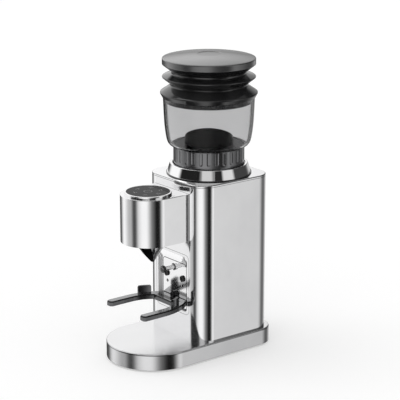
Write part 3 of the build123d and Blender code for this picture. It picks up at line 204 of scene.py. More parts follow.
def drawn_in(outline: Sequence[Point2], inset: float) -> list[Point2]:
    """A closed outline with each side moved inwards.

    Args:
        outline: Corners in order.
        inset: Distance that the sides move.

    Returns:
        As many corners.
    """
    points = []
    for index, (x, y) in enumerate(outline):
        ahead = Vector(outline[(index + 1) % len(outline)]) - Vector((x, y))
        behind = Vector((x, y)) - Vector(outline[index - 1])
        first = Vector((behind.y, -behind.x)).normalized()
        second = Vector((ahead.y, -ahead.x)).normalized()
        push = (first + second) * (inset / (1 + first.dot(second)))
        points.append((x + push.x, y + push.y))
    return points


# Mesh building


def make_piece(
    name: str, verts: Sequence[Point3], faces: Sequence[Sequence[int]], sharp: float = CRISP
) -> Piece:
    """A closed mesh object from millimetre points.

    Args:
        name: Name of the piece.
        verts: Points in millimetres.
        faces: Corner indices of each face.
        sharp: Angle in degrees above which an edge stays crisp.

    Returns:
        The new object, at the origin.
    """
    mesh = bpy.data.meshes.new(name)
    mesh.from_pydata([(x * MM, y * MM, z * MM) for x, y, z in verts], [], faces)
    build = bmesh.new()
    build.from_mesh(mesh)
    bmesh.ops.remove_doubles(build, verts=build.verts, dist=WELD)
    bmesh.ops.recalc_face_normals(build, faces=build.faces)
    build.to_mesh(mesh)
    build.free()
    return settle(bpy.data.objects.new(name, mesh), sharp)


def settle(piece: Piece, sharp: float) -> Piece:
    """Links a piece, shades it smooth and keeps its flat faces even.

    Args:
        piece: The object.
        sharp: Angle in degrees above which an edge stays crisp.

    Returns:
        The same object.
    """
    if piece.name not in bpy.context.scene.collection.objects:
        bpy.context.scene.collection.objects.link(piece)
    piece.data.polygons.foreach_set("use_smooth", [True] * len(piece.data.polygons))
    piece.data.set_sharp_from_angle(angle=math.radians(sharp))
    even = piece.modifiers.new("even_normals", "WEIGHTED_NORMAL")
    even.mode = "FACE_AREA"
    even.weight = 70
    even.keep_sharp = True
    return piece


def lathe(
    name: str, profile: Sequence[Point2], centre: Point2, segments: int = ROUND,
    sharp: float = CRISP,
) -> Piece:
    """A solid of revolution about a vertical axis.

    Args:
        name: Name of the piece.
        profile: Closed profile of (radius, height) points.
        centre: Axis position in plan.
        segments: Steps round the axis.
        sharp: Angle in degrees above which an edge stays crisp.

    Returns:
        The new object.
    """
    on_axis = 1e-6
    verts: list[Point3] = []
    rings: list[list[int]] = []
    for radius, height in profile:
        if radius < on_axis:
            rings.append([len(verts)] * segments)
            verts.append((*centre, height))
            continue
        rings.append(list(range(len(verts), len(verts) + segments)))
        for step in range(segments):
            verts.append((*polar(centre, radius, FULL_TURN * step / segments), height))
    faces = []
    for index, ring in enumerate(rings):
        following = rings[(index + 1) % len(rings)]
        if ring[0] == ring[1] and following[0] == following[1]:
            continue
        for step in range(segments):
            ahead = (step + 1) % segments
            quad = [ring[step], ring[ahead], following[ahead], following[step]]
            faces.append(list(dict.fromkeys(quad)))
    return make_piece(name, verts, faces, sharp)


def skin_faces(rings: int, count: int, closed: bool, start: int = 0) -> list[list[int]]:
    """Faces of a skin through rings of points.

    Args:
        rings: Number of rings.
        count: Points in each ring.
        closed: True if the last ring joins the first, otherwise both ends get a cap.
        start: Index of the first point.

    Returns:
        Corner indices of each face.
    """
    faces = []
    for index in range(rings if closed else rings - 1):
        low = start + index * count
        high = start + (index + 1) % rings * count
        for step in range(count):
            ahead = (step + 1) % count
            faces.append([low + step, low + ahead, high + ahead, high + step])
    if not closed:
        faces.append(list(range(start, start + count)))
        faces.append(list(range(start + (rings - 1) * count, start + rings * count)))
    return faces


def skinned(name: str, rings: Sequence[Sequence[Point3]], closed: bool = True) -> Piece:
    """A solid skinned through rings of equal point count.

    Args:
        name: Name of the piece.
        rings: Rings of points, in order along the skin.
        closed: True if the last ring joins the first, otherwise both ends get a cap.

    Returns:
        The new object.
    """
    verts = [point for ring in rings for point in ring]
    return make_piece(name, verts, skin_faces(len(rings), len(rings[0]), closed))


def stacked(name: str, rings: Rings, closed: bool = False) -> Piece:
    """A solid skinned through level outlines of equal point count.

    Args:
        name: Name of the piece.
        rings: Outlines with their heights, in order along the skin.
        closed: True if the last ring joins the first, otherwise both ends get a cap.

    Returns:
        The new object.
    """
    return skinned(name, [[(x, y, level) for x, y in ring] for ring, level in rings], closed)


def band(name: str, plan: Plan, insets: Insets, low: float, high: float) -> Piece:
    """A thin closed band along an outline.

    Args:
        name: Name of the piece.
        plan: Outline for each inset.
        insets: Insets of its outer face at the foot and at the top, and of its inner face.
        low: Height of its foot.
        high: Height of its top.

    Returns:
        The new object.
    """
    foot, top, back = insets
    rings = [(plan(foot), low), (plan(top), high), (plan(back), high), (plan(back), low)]
    return stacked(name, rings, closed=True)


def swept(name: str, centre: Point2, section: Callable[[float], Sequence[Point2]]) -> Piece:
    """A turned solid whose section changes round a vertical axis.

    Args:
        name: Name of the piece.
        centre: Axis position in plan.
        section: Gives the closed profile of (radius, height) points at an angle in radians.

    Returns:
        The new object.
    """
    rings = []
    for step in range(SWEEP):
        turn = FULL_TURN * step / SWEEP
        rings.append([(*polar(centre, radius, turn), level) for radius, level in section(turn)])
    return skinned(name, rings)


def edge_rings(plan: Plan, height: float, radius: float, upwards: bool, steps: int) -> Rings:
    """Rings of a rounded edge between a wall and a flat.

    Args:
        plan: Outline for each inset.
        height: Height of the flat.
        radius: Radius of the edge.
        upwards: True for the top edge, walked from the wall to the flat.
        steps: Chords in the edge.

    Returns:
        Outlines with their heights.
    """
    rings = []
    for step in range(steps + 1):
        angle = math.radians(90 * step / steps)
        inset = radius * (1 - math.cos(angle))
        drop = radius * (1 - math.sin(angle))
        rings.append((plan(inset), height - drop if upwards else height + drop))
    return rings if upwards else rings[::-1]


def bake(piece: Piece) -> None:
    """Turns a piece's modifiers into a plain mesh.

    Args:
        piece: The object.
    """
    bpy.context.view_layer.update()
    graph = bpy.context.evaluated_depsgraph_get()
    mesh = bpy.data.meshes.new_from_object(piece.evaluated_get(graph))
    piece.modifiers.clear()
    piece.data = mesh


def refined(node: str, bevel: float = 0.0) -> Piece:
    """A merged copy of a solid of the frame, with eased edges.

    Args:
        node: Name of the solid.
        bevel: Width of the eased edge in millimetres.

    Returns:
        The copy, which replaces the solid.
    """
    sharp, flat = 30.0, 0.4  # degrees at which an edge stays crisp, and below which it goes
    mesh = bpy.data.objects[node].data.copy()
    build = bmesh.new()
    build.from_mesh(mesh)
    bmesh.ops.remove_doubles(build, verts=build.verts, dist=SOLID_WELD)
    bmesh.ops.dissolve_limit(
        build, angle_limit=math.radians(flat), verts=build.verts, edges=build.edges,
        use_dissolve_boundaries=False,
    )
    build.to_mesh(mesh)
    build.free()
    if mesh.has_custom_normals:
        mesh.normals_split_custom_set([(0.0, 0.0, 0.0)] * len(mesh.loops))
    piece = bpy.data.objects.new(node + "_skin", mesh)
    bpy.context.scene.collection.objects.link(piece)
    if bevel > 0:
        ease = piece.modifiers.new("eased_edges", "BEVEL")
        ease.width = bevel * MM
        ease.segments = 2
        ease.limit_method = "ANGLE"
        ease.angle_limit = math.radians(sharp)
        ease.harden_normals = False
    settle(piece, sharp)
    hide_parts(node)
    return piece


def node_box(node: str) -> tuple[Vector, Vector]:
    """Lowest and highest corner of a solid in millimetres."""
    low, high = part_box(node)
    return low / MM, high / MM


# Node trees and finishes


def add_node(
    tree: Tree, kind: str, values: dict[str | int, object] | None = None, **settings: object
) -> Node:
    """A new node with its settings.

    Args:
        tree: Tree that gets the node.
        kind: Type of the node.
        values: Values of inputs, by name or index.
        settings: Properties of the node, such as its operation.

    Returns:
        The node.
    """
    node = tree.nodes.new(kind)
    for label, value in settings.items():
        setattr(node, label, value)
    for label, value in (values or {}).items():
        node.inputs[label].default_value = value
    return node


def eased(tree: Tree, value: Socket, span: Span, levels: Span = (0.0, 1.0)) -> Socket:
    """A smooth step from one level to another.

    Args:
        tree: Tree that gets the node.
        value: Socket that the step follows.
        span: Values between which the level changes.
        levels: Levels before and after.

    Returns:
        Socket with the level.
    """
    step = add_node(
        tree, "ShaderNodeMapRange",
        {"From Min": span[0], "From Max": span[1], "To Min": levels[0], "To Max": levels[1]},
        interpolation_type="SMOOTHSTEP",
    )
    tree.links.new(value, step.inputs["Value"])
    return step.outputs["Result"]


def blended(tree: Tree, share: Socket, first: Socket | Colour, second: Colour) -> Socket:
    """A blend of two colours.

    Args:
        tree: Tree that gets the node.
        share: Socket with the share of the second colour.
        first: First colour, fixed or from a socket.
        second: Second colour.

    Returns:
        Socket with the colour.
    """
    mix = add_node(tree, "ShaderNodeMix", {MIX_SECOND: (*second, 1.0)}, data_type="RGBA")
    tree.links.new(share, mix.inputs[MIX_SHARE])
    if isinstance(first, Socket):
        tree.links.new(first, mix.inputs[MIX_FIRST])
    else:
        mix.inputs[MIX_FIRST].default_value = (*first, 1.0)
    return mix.outputs[MIX_COLOUR]


class GroupKit:
    """Shader node groups that several finishes share."""

    def __init__(self) -> None:
        """Builds the groups once."""
        self.drift = self._drift()
        self.brush = self._brush()
        self.upward = self._upward()

    @staticmethod
    def _shell(
        name: str, inputs: dict[str, float], outputs: Sequence[str]
    ) -> tuple[Tree, Node, Node]:
        """An empty group with its sockets.

        Args:
            name: Name of the group.
            inputs: Named inputs with their defaults.
            outputs: Names of the outputs.

        Returns:
            The tree, its input node and its output node.
        """
        tree = bpy.data.node_groups.new(name, "ShaderNodeTree")
        for label, value in inputs.items():
            socket = tree.interface.new_socket(
                label, in_out="INPUT", socket_type="NodeSocketFloat"
            )
            socket.default_value = value
        for label in outputs:
            tree.interface.new_socket(label, in_out="OUTPUT", socket_type="NodeSocketFloat")
        return tree, tree.nodes.new("NodeGroupInput"), tree.nodes.new("NodeGroupOutput")

    def _drift(self) -> Tree:
        """Slow clouds, as of handling and cleaning, with a fine grain.

        Returns:
            The group.
        """
        tree, enter, leave = self._shell(
            "surface_drift", {"Cloud Scale": 20.0, "Grain Scale": 900.0}, ("Cloud", "Grain")
        )
        place = add_node(tree, "ShaderNodeTexCoord")
        cloud = add_node(tree, "ShaderNodeTexNoise", {"Detail": 5.0, "Roughness": 0.6})
        grain = add_node(tree, "ShaderNodeTexNoise", {"Detail": 2.0})
        for node, label in ((cloud, "Cloud Scale"), (grain, "Grain Scale")):
            tree.links.new(place.outputs["Object"], node.inputs["Vector"])
            tree.links.new(enter.outputs[label], node.inputs["Scale"])
        spread = add_node(tree, "ShaderNodeMapRange", {"From Min": 0.3, "From Max": 0.7})
        tree.links.new(cloud.outputs["Fac"], spread.inputs["Value"])
        tree.links.new(spread.outputs["Result"], leave.inputs["Cloud"])
        tree.links.new(grain.outputs["Fac"], leave.inputs["Grain"])
        return tree

    def _brush(self) -> Tree:
        """Fine polishing lines that run round or across a surface.

        Returns:
            The group.
        """
        tree, enter, leave = self._shell(
            "polish_lines", {"Across": 40.0, "Along": 2200.0}, ("Lines",)
        )
        place = add_node(tree, "ShaderNodeTexCoord")
        split = add_node(tree, "ShaderNodeSeparateXYZ")
        join = add_node(tree, "ShaderNodeCombineXYZ")
        tree.links.new(place.outputs["Object"], split.inputs["Vector"])
        for axis, label in (("X", "Across"), ("Y", "Across"), ("Z", "Along")):
            scale = add_node(tree, "ShaderNodeMath", operation="MULTIPLY")
            tree.links.new(split.outputs[axis], scale.inputs[0])
            tree.links.new(enter.outputs[label], scale.inputs[1])
            tree.links.new(scale.outputs["Value"], join.inputs[axis])
        lines = add_node(tree, "ShaderNodeTexNoise", {"Scale": 1.0, "Detail": 3.0})
        tree.links.new(join.outputs["Vector"], lines.inputs["Vector"])
        tree.links.new(lines.outputs["Fac"], leave.inputs["Lines"])
        return tree

    def _upward(self) -> Tree:
        """Mask of the faces that look up, where painted light from above goes.

        Returns:
            The group.
        """
        tree, enter, leave = self._shell("upward_mask", {"From": 0.6, "To": 0.92}, ("Mask",))
        facing = add_node(tree, "ShaderNodeNewGeometry")
        split = add_node(tree, "ShaderNodeSeparateXYZ")
        spread = add_node(tree, "ShaderNodeMapRange", interpolation_type="SMOOTHSTEP")
        tree.links.new(facing.outputs["Normal"], split.inputs["Vector"])
        tree.links.new(split.outputs["Z"], spread.inputs["Value"])
        tree.links.new(enter.outputs["From"], spread.inputs["From Min"])
        tree.links.new(enter.outputs["To"], spread.inputs["From Max"])
        tree.links.new(spread.outputs["Result"], leave.inputs["Mask"])
        return tree


@dataclass(frozen=True)
class Finish:
    """One finish, with its colours and how they vary over the surface.

    Where limb is below 1, a wall seen edge on darkens to that level over limb_span. Where fade
    is given, the gloss fades over those facing values to the share fade_left.
    """

    name: str
    slot: str
    dark: Colour
    light: Colour
    metallic: float = 0.0
    rough_low: float = 0.4
    rough_high: float = 0.5
    cloud_scale: float = 20.0
    grain_scale: float = 900.0
    grain_bump: float = 0.05
    line_bump: float = 0.0
    bump_depth: float = 0.0002
    specular: float = 0.5
    coat: float = 0.0
    coat_rough: float = 0.04
    ior: float = 1.5
    coverage: Coverage = Coverage.OPAQUE
    # Colour of the faces that look up: painted light from above.
    crown: Colour | None = None
    limb: float = 1.0
    limb_span: Span = (0.62, 0.76)
    fade: Span | None = None
    fade_left: float = 0.06

    def build(self, kit: GroupKit) -> bpy.types.Material:
        """Makes the material.

        Args:
            kit: Shared node groups.

        Returns:
            The material.
        """
        material = bpy.data.materials.new(self.name)
        material.use_nodes = True
        tree = material.node_tree
        shader = tree.nodes["Principled BSDF"]
        for label, value in (
            ("Metallic", self.metallic), ("IOR", self.ior), ("Specular IOR Level", self.specular),
            ("Coat Weight", self.coat), ("Coat Roughness", self.coat_rough),
        ):
            shader.inputs[label].default_value = value
        scales = {"Cloud Scale": self.cloud_scale, "Grain Scale": self.grain_scale}
        drift = add_node(tree, "ShaderNodeGroup", scales, node_tree=kit.drift)
        paint = blended(tree, drift.outputs["Cloud"], self.dark, self.light)
        paint = self._limbed(tree, self._painted_top_light(tree, kit, paint))
        tree.links.new(paint, shader.inputs["Base Color"])
        rough = add_node(
            tree, "ShaderNodeMapRange", {"To Min": self.rough_low, "To Max": self.rough_high}
        )
        tree.links.new(drift.outputs["Cloud"], rough.inputs["Value"])
        tree.links.new(rough.outputs["Result"], shader.inputs["Roughness"])
        strength = max(self.grain_bump, self.line_bump)
        if strength > 0:
            bump = add_node(
                tree, "ShaderNodeBump", {"Distance": self.bump_depth, "Strength": strength}
            )
            source = drift.outputs["Grain"]
            if self.line_bump > 0:
                source = add_node(tree, "ShaderNodeGroup", node_tree=kit.brush).outputs["Lines"]
            tree.links.new(source, bump.inputs["Height"])
            tree.links.new(bump.outputs["Normal"], shader.inputs["Normal"])
        if self.coverage is Coverage.CLEAR:
            shader.inputs["Transmission Weight"].default_value = 1.0
        if self.fade is not None:
            self._faded(tree, shader)
        return material

    def _faded(self, tree: Tree, shader: Node) -> None:
        """Takes the gloss away where the surface is seen edge on.

        Args:
            tree: Tree of the material.
            shader: Its Principled node.
        """
        facing = add_node(tree, "ShaderNodeLayerWeight", {"Blend": 0.5}).outputs["Facing"]
        for label, full in (("Coat Weight", self.coat), ("Specular IOR Level", self.specular)):
            level = eased(tree, facing, self.fade, (full, self.fade_left * full))
            tree.links.new(level, shader.inputs[label])

    def _painted_top_light(self, tree: Tree, kit: GroupKit, paint: Socket) -> Socket:
        """Lightens the faces that look up, as painted light from above, where the finish asks for
        it.

        Args:
            tree: Tree of the material.
            kit: Shared node groups.
            paint: Socket with the colour so far.

        Returns:
            Socket with the new colour.
        """
        if self.crown is None:
            return paint
        mask = add_node(tree, "ShaderNodeGroup", node_tree=kit.upward).outputs["Mask"]
        return blended(tree, mask, paint, self.crown)

    def _limbed(self, tree: Tree, paint: Socket) -> Socket:
        """Darkens the wall where it is seen edge on, as thick tinted plastic does.

        Args:
            tree: Tree of the material.
            paint: Socket with the colour so far.

        Returns:
            Socket with the new colour.
        """
        if self.limb >= 1.0:
            return paint
        facing = add_node(tree, "ShaderNodeLayerWeight", {"Blend": 0.5}).outputs["Facing"]
        return blended(tree, eased(tree, facing, self.limb_span), paint, (self.limb,) * 3)


POLISHED = Finish(
    "polished_stainless", "polished_steel", (0.83, 0.83, 0.84), (0.90, 0.90, 0.905), metallic=1.0,
    rough_low=0.09, rough_high=0.13, cloud_scale=14.0, grain_bump=0.0, line_bump=0.008,
)
# The base's polished steel, darker than the column's as painted shade near the floor.
SHADED_BASE_STEEL = Finish(
    "shaded_base_steel", "polished_steel", (0.63, 0.63, 0.64), (0.70, 0.70, 0.705), metallic=1.0,
    rough_low=0.12, rough_high=0.18, cloud_scale=14.0, grain_bump=0.0, line_bump=0.008,
)
SATIN_STEEL = Finish(
    "satin_base_steel", "polished_steel", (0.78, 0.78, 0.785), (0.83, 0.83, 0.835), metallic=1.0,
    rough_low=0.17, rough_high=0.23, cloud_scale=18.0, grain_bump=0.0,
)
PAN_STEEL = Finish(
    "bright_pan_steel", "polished_steel", (0.90, 0.90, 0.905), (0.95, 0.95, 0.955), metallic=1.0,
    rough_low=0.10, rough_high=0.14, cloud_scale=24.0, grain_bump=0.0,
)
PAN_WALL = Finish(
    "satin_pan_wall", "polished_steel", (0.86, 0.86, 0.865), (0.92, 0.92, 0.925),
    rough_low=0.5, rough_high=0.6, cloud_scale=24.0, grain_bump=0.0,
)
CHROME = Finish(
    "bright_chrome", "chrome", (0.88, 0.88, 0.885), (0.94, 0.94, 0.94), metallic=1.0,
    rough_low=0.03, rough_high=0.06, cloud_scale=30.0, grain_bump=0.0,
)
# The fork's tops take a lighter colour of the same coat as painted light from above.
FORK = Finish(
    "fork_coat", "fork_grey", (0.11, 0.111, 0.114), (0.16, 0.161, 0.165), metallic=0.9,
    rough_low=0.16, rough_high=0.22, cloud_scale=40.0, grain_scale=2600.0, grain_bump=0.02,
    crown=(0.27, 0.272, 0.277),
)
# The fork's own grey coat made near black: painted shade on the bevels, and the dark tops of the
# channel and tabs.
FORK_EDGE = Finish(
    "fork_edge", "fork_grey", (0.010, 0.010, 0.0104), (0.016, 0.016, 0.0165), metallic=0.6,
    rough_low=0.16, rough_high=0.22, cloud_scale=40.0, grain_bump=0.0,
)
RUBBER = Finish(
    "bellows_rubber", "black_rubber", (0.010, 0.010, 0.0104), (0.015, 0.015, 0.0155),
    rough_low=0.09, rough_high=0.13, cloud_scale=26.0, grain_scale=3000.0, grain_bump=0.01,
    specular=0.7,
)
DISC_RUBBER = Finish(
    "disc_rubber", "black_rubber", (0.030, 0.030, 0.031), (0.045, 0.045, 0.046),
    rough_low=0.20, rough_high=0.26, cloud_scale=16.0, grain_scale=3000.0, grain_bump=0.015,
    specular=1.0, coat=1.0, coat_rough=0.22, fade=(0.71, 0.86),
)
SMOKED = Finish(
    "smoked_clear", "smoked_clear", (0.81, 0.81, 0.815), (0.85, 0.85, 0.855),
    rough_low=0.0, rough_high=0.02, cloud_scale=9.0, grain_bump=0.0, ior=1.22,
    coverage=Coverage.CLEAR, limb=0.0,
)
THROAT = Finish(
    "throat_plastic", "black_plastic", (0.003, 0.003, 0.0032), (0.005, 0.005, 0.0053),
    rough_low=0.26, rough_high=0.34, cloud_scale=30.0, grain_scale=3200.0, grain_bump=0.02,
    specular=0.1,
)
# The spout's chrome inside, painted near black as the shade inside the tube.
SPOUT_SHADE = Finish(
    "spout_inner_shade", "chrome", (0.003, 0.003, 0.003), (0.006, 0.006, 0.006),
    rough_low=0.45, rough_high=0.6, cloud_scale=40.0, grain_bump=0.05, specular=0.15,
)
RING = Finish(
    "ring_plastic", "ring_grey", (0.17, 0.171, 0.175), (0.21, 0.211, 0.216), metallic=0.85,
    rough_low=0.09, rough_high=0.13, cloud_scale=36.0, grain_bump=0.0,
)
PANEL = Finish(
    "panel_glass", "black_glass", (0.006, 0.006, 0.007), (0.010, 0.010, 0.011),
    rough_low=0.05, rough_high=0.09, cloud_scale=30.0, grain_bump=0.0, specular=0.03,
)
MARK = Finish(
    "panel_print", "black_glass", (0.20, 0.20, 0.205), (0.26, 0.26, 0.265),
    rough_low=0.3, rough_high=0.4, cloud_scale=60.0, grain_bump=0.02, specular=0.2,
)
BLACK_STEEL = Finish(
    "blackened_steel", "screw_black", (0.020, 0.020, 0.021), (0.035, 0.035, 0.036), metallic=0.6,
    rough_low=0.32, rough_high=0.45, cloud_scale=120.0, grain_scale=4000.0, grain_bump=0.12,
)
ZINC = Finish(
    "zinc_plate", "zinc_steel", (0.52, 0.52, 0.50), (0.64, 0.64, 0.61), metallic=1.0,
    rough_low=0.28, rough_high=0.42, cloud_scale=90.0, grain_bump=0.04,
)
BURR = Finish(
    "burr_steel", "burr_steel", (0.42, 0.43, 0.44), (0.56, 0.57, 0.58), metallic=1.0,
    rough_low=0.22, rough_high=0.34, cloud_scale=110.0, grain_bump=0.0, line_bump=0.05,
)
CAST = Finish(
    "cast_alloy", "cast_alloy", (0.52, 0.53, 0.54), (0.64, 0.65, 0.66), metallic=1.0,
    rough_low=0.42, rough_high=0.55, cloud_scale=70.0, grain_scale=1500.0, grain_bump=0.25,
)
BEARING = Finish(
    "bearing_steel", "bearing_steel", (0.62, 0.62, 0.63), (0.72, 0.72, 0.73), metallic=1.0,
    rough_low=0.14, rough_high=0.22, cloud_scale=120.0, grain_bump=0.0, line_bump=0.02,
)
NYLON = Finish(
    "gear_nylon", "gear_nylon", (0.66, 0.63, 0.56), (0.76, 0.73, 0.66),
    rough_low=0.42, rough_high=0.52, cloud_scale=80.0, grain_bump=0.04,
)
MOTOR = Finish(
    "motor_lacquer", "motor_black", (0.030, 0.030, 0.032), (0.050, 0.050, 0.053), metallic=0.3,
    rough_low=0.34, rough_high=0.46, cloud_scale=60.0, grain_bump=0.10,
)
COPPER = Finish(
    "wound_copper", "copper_winding", (0.40, 0.17, 0.08), (0.58, 0.27, 0.13), metallic=1.0,
    rough_low=0.28, rough_high=0.40, cloud_scale=140.0, grain_bump=0.0, line_bump=0.20,
)
BOARD = Finish(
    "circuit_board", "board_green", (0.025, 0.13, 0.055), (0.045, 0.19, 0.085),
    rough_low=0.34, rough_high=0.48, cloud_scale=150.0, grain_bump=0.05,
)
BRASS = Finish(
    "turned_brass", "brass", (0.58, 0.42, 0.18), (0.72, 0.55, 0.27), metallic=1.0,
    rough_low=0.20, rough_high=0.32, cloud_scale=90.0, grain_bump=0.0, line_bump=0.04,
)


class Palette:
    """Materials of all the finishes, each made once."""

    def __init__(self) -> None:
        """Builds the shared groups."""
        self.kit = GroupKit()
        self.made: dict[str, bpy.types.Material] = {}

    def of(self, finish: Finish) -> bpy.types.Material:
        """The material of a finish.

        Args:
            finish: The finish.

        Returns:
            Its material, made at the first call.
        """
        if finish.name not in self.made:
            self.made[finish.name] = finish.build(self.kit)
        return self.made[finish.name]

    def dress(self, piece: Piece, finish: Finish, body: Body = Body.GRINDER) -> None:
        """Gives a piece its finish and the body it rides on.

        Args:
            piece: The object.
            finish: Its finish.
            body: The body.
        """
        piece.data.materials.clear()
        piece.data.materials.append(self.of(finish))
        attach(piece, body.value)
        LOG.info("%s rides %s", piece.name, body.value)

    def accent(self, piece: Piece, finish: Finish, picks: Picks) -> None:
        """Gives some faces of a dressed piece a second finish.

        Args:
            piece: The object.
            finish: Finish of the picked faces.
            picks: Takes a face's middle in millimetres and its normal, and says whether it is
                picked.
        """
        piece.data.materials.append(self.of(finish))
        second = len(piece.data.materials) - 1
        for face in piece.data.polygons:
            if picks(face.center / MM, face.normal):
                face.material_index = second

    def dress_nodes(self, finish: Finish, *nodes: str) -> None:
        """Gives solids of the frame their finish.

        Args:
            finish: The finish.
            nodes: Names of the solids.
        """
        for node in nodes:
            for place in bpy.data.objects[node].material_slots:
                place.material = self.of(finish)
            LOG.info("%s dressed as %s", node, finish.name)


# Geometry node trees


class RingArray:
    """Geometry Nodes tree that repeats a small mesh evenly round a circle."""

    def __init__(self, name: str) -> None:
        """Builds the tree.

        Args:
            name: Name of the tree.
        """
        self.tree = bpy.data.node_groups.new(name, "GeometryNodeTree")
        self.sockets: dict[str, str] = {}
        for label, kind in (
            ("Shape", "NodeSocketGeometry"),
            ("Count", "NodeSocketInt"),
            ("Radius", "NodeSocketFloat"),
            ("Height", "NodeSocketFloat"),
            ("Start", "NodeSocketFloat"),
            ("Middle", "NodeSocketVector"),
            ("Finish", "NodeSocketMaterial"),
        ):
            socket = self.tree.interface.new_socket(label, in_out="INPUT", socket_type=kind)
            self.sockets[label] = socket.identifier
        self.tree.interface.new_socket(
            "Geometry", in_out="OUTPUT", socket_type="NodeSocketGeometry"
        )
        self._wire()

    def _wire(self) -> None:
        """Places one copy at each step of the turn."""
        tree = self.tree
        enter = add_node(tree, "NodeGroupInput")
        leave = add_node(tree, "NodeGroupOutput")
        line = add_node(tree, "GeometryNodePoints")
        index = add_node(tree, "GeometryNodeInputIndex")
        step = add_node(tree, "ShaderNodeMath", operation="DIVIDE")
        turn = add_node(tree, "ShaderNodeMath", {1: FULL_TURN}, operation="MULTIPLY_ADD")
        spin = add_node(tree, "ShaderNodeCombineXYZ")
        reach = add_node(tree, "ShaderNodeCombineXYZ")
        swing = add_node(tree, "ShaderNodeVectorRotate", rotation_type="Z_AXIS")
        place = add_node(tree, "ShaderNodeVectorMath", operation="ADD")
        copies = add_node(tree, "GeometryNodeInstanceOnPoints")
        real = add_node(tree, "GeometryNodeRealizeInstances")
        paint = add_node(tree, "GeometryNodeSetMaterial")
        for source, output, target, socket in (
            (enter, "Count", line, "Count"),
            (index, "Index", step, 0),
            (enter, "Count", step, 1),
            (step, "Value", turn, 0),
            (enter, "Start", turn, 2),
            (turn, "Value", spin, "Z"),
            (enter, "Radius", reach, "X"),
            (enter, "Height", reach, "Z"),
            (reach, "Vector", swing, "Vector"),
            (turn, "Value", swing, "Angle"),
            (swing, "Vector", place, 0),
            (enter, "Middle", place, 1),
            (place, "Vector", line, "Position"),
            (line, "Points", copies, "Points"),
            (enter, "Shape", copies, "Instance"),
            (spin, "Vector", copies, "Rotation"),
            (copies, "Instances", real, "Geometry"),
            (real, "Geometry", paint, "Geometry"),
            (enter, "Finish", paint, "Material"),
            (paint, "Geometry", leave, "Geometry"),
        ):
            tree.links.new(source.outputs[output], target.inputs[socket])

    def repeat(
        self, name: str, shape: Piece, count: int, radius: float, height: float, middle: Point2,
        start: float, material: bpy.types.Material,
    ) -> Piece:
        """Repeats a shape round a vertical axis.

        Args:
            name: Name of the result.
            shape: Object at the origin whose +X side points outwards, used up here.
            count: Number of copies.
            radius: Radius in millimetres.
            height: Height in millimetres.
            middle: Axis in plan, in millimetres.
            start: First angle in degrees.
            material: Finish of the copies.

        Returns:
            One plain mesh object with all the copies.
        """
        modifier = shape.modifiers.new("array", "NODES")
        modifier.node_group = self.tree
        for label, value in (
            ("Count", count), ("Radius", radius * MM), ("Height", height * MM),
            ("Start", math.radians(start)), ("Middle", (middle[0] * MM, middle[1] * MM, 0.0)),
            ("Finish", material),
        ):
            modifier[self.sockets[label]] = value
        bake(shape)
        shape.name = name
        shape.data.name = name
        return shape


# Sub-assemblies


@dataclass
class Layout:
    """Vertical axes in plan, in millimetres."""

    axis: Point2
    head: Point2

    @classmethod
    def read(cls) -> "Layout":
        """Takes the axes of the ring and of the panel from the frame.

        Returns:
            The layout.
        """
        middles = []
        for node in ("adjusting_ring", "control_glass"):
            low, high = node_box(node)
            middles.append(((low.x + high.x) / 2, (low.y + high.y) / 2))
        return cls(*middles)


@dataclass
class Base:
    """Round-nosed base on its feet."""

    palette: Palette
    corner: float = 25.0
    sheet: float = 1.5
    top_edge: float = 1.3
    foot_edge: float = 0.5
    land: float = 6.0
    seam_insets: Insets = (-0.06, -0.06, 0.8)
    seam_drops: Span = (2.0, 1.3)

    def plan(self, inset: float) -> list[Point2]:
        """Outline of the base drawn in by an inset.

        Args:
            inset: Distance from the base's own outline.

        Returns:
            The points in order.
        """
        low, high = node_box("base_shell")
        radius = max(self.corner - inset, LEAST_RADIUS)
        rear = high.y - self.corner
        side = high.x - self.corner
        points = arc((0.0, low.y + high.x), high.x - inset, 180, 360, 96)
        points += arc((side, rear), radius, 0, 90, 14)
        points += arc((-side, rear), radius, 90, 180, 14)
        return points

    def build(self) -> None:
        """Makes the shell and its seam, and dresses the plate, feet, screws and board."""
        low, high = node_box("base_shell")
        roof = high.z - self.sheet
        rings = [(self.plan(self.sheet), roof), (self.plan(self.sheet), low.z)]
        rings += edge_rings(self.plan, low.z, self.foot_edge, False, 3)
        rings += edge_rings(self.plan, high.z, self.top_edge, True, 6)
        rings.append((self.plan(self.land), high.z))
        shell = stacked("base_steel", rings)
        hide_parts("base_shell")
        # The shell takes the darker steel as painted shade near the floor.
        self.palette.dress(shell, SHADED_BASE_STEEL)
        foot, top = (high.z - drop for drop in self.seam_drops)
        seam = band("base_seam", self.plan, self.seam_insets, foot, top)
        self.palette.dress(seam, RUBBER)
        self.palette.accent(
            shell, SATIN_STEEL, lambda middle, normal: normal.z > LEVEL and middle.z > roof
        )
        self.palette.dress_nodes(ZINC, "base_plate", "base_plate_screws")
        self.palette.dress_nodes(RUBBER, "rubber_feet")
        self.palette.dress_nodes(BOARD, "power_board")
        self.palette.dress_nodes(BRASS, "board_standoffs")


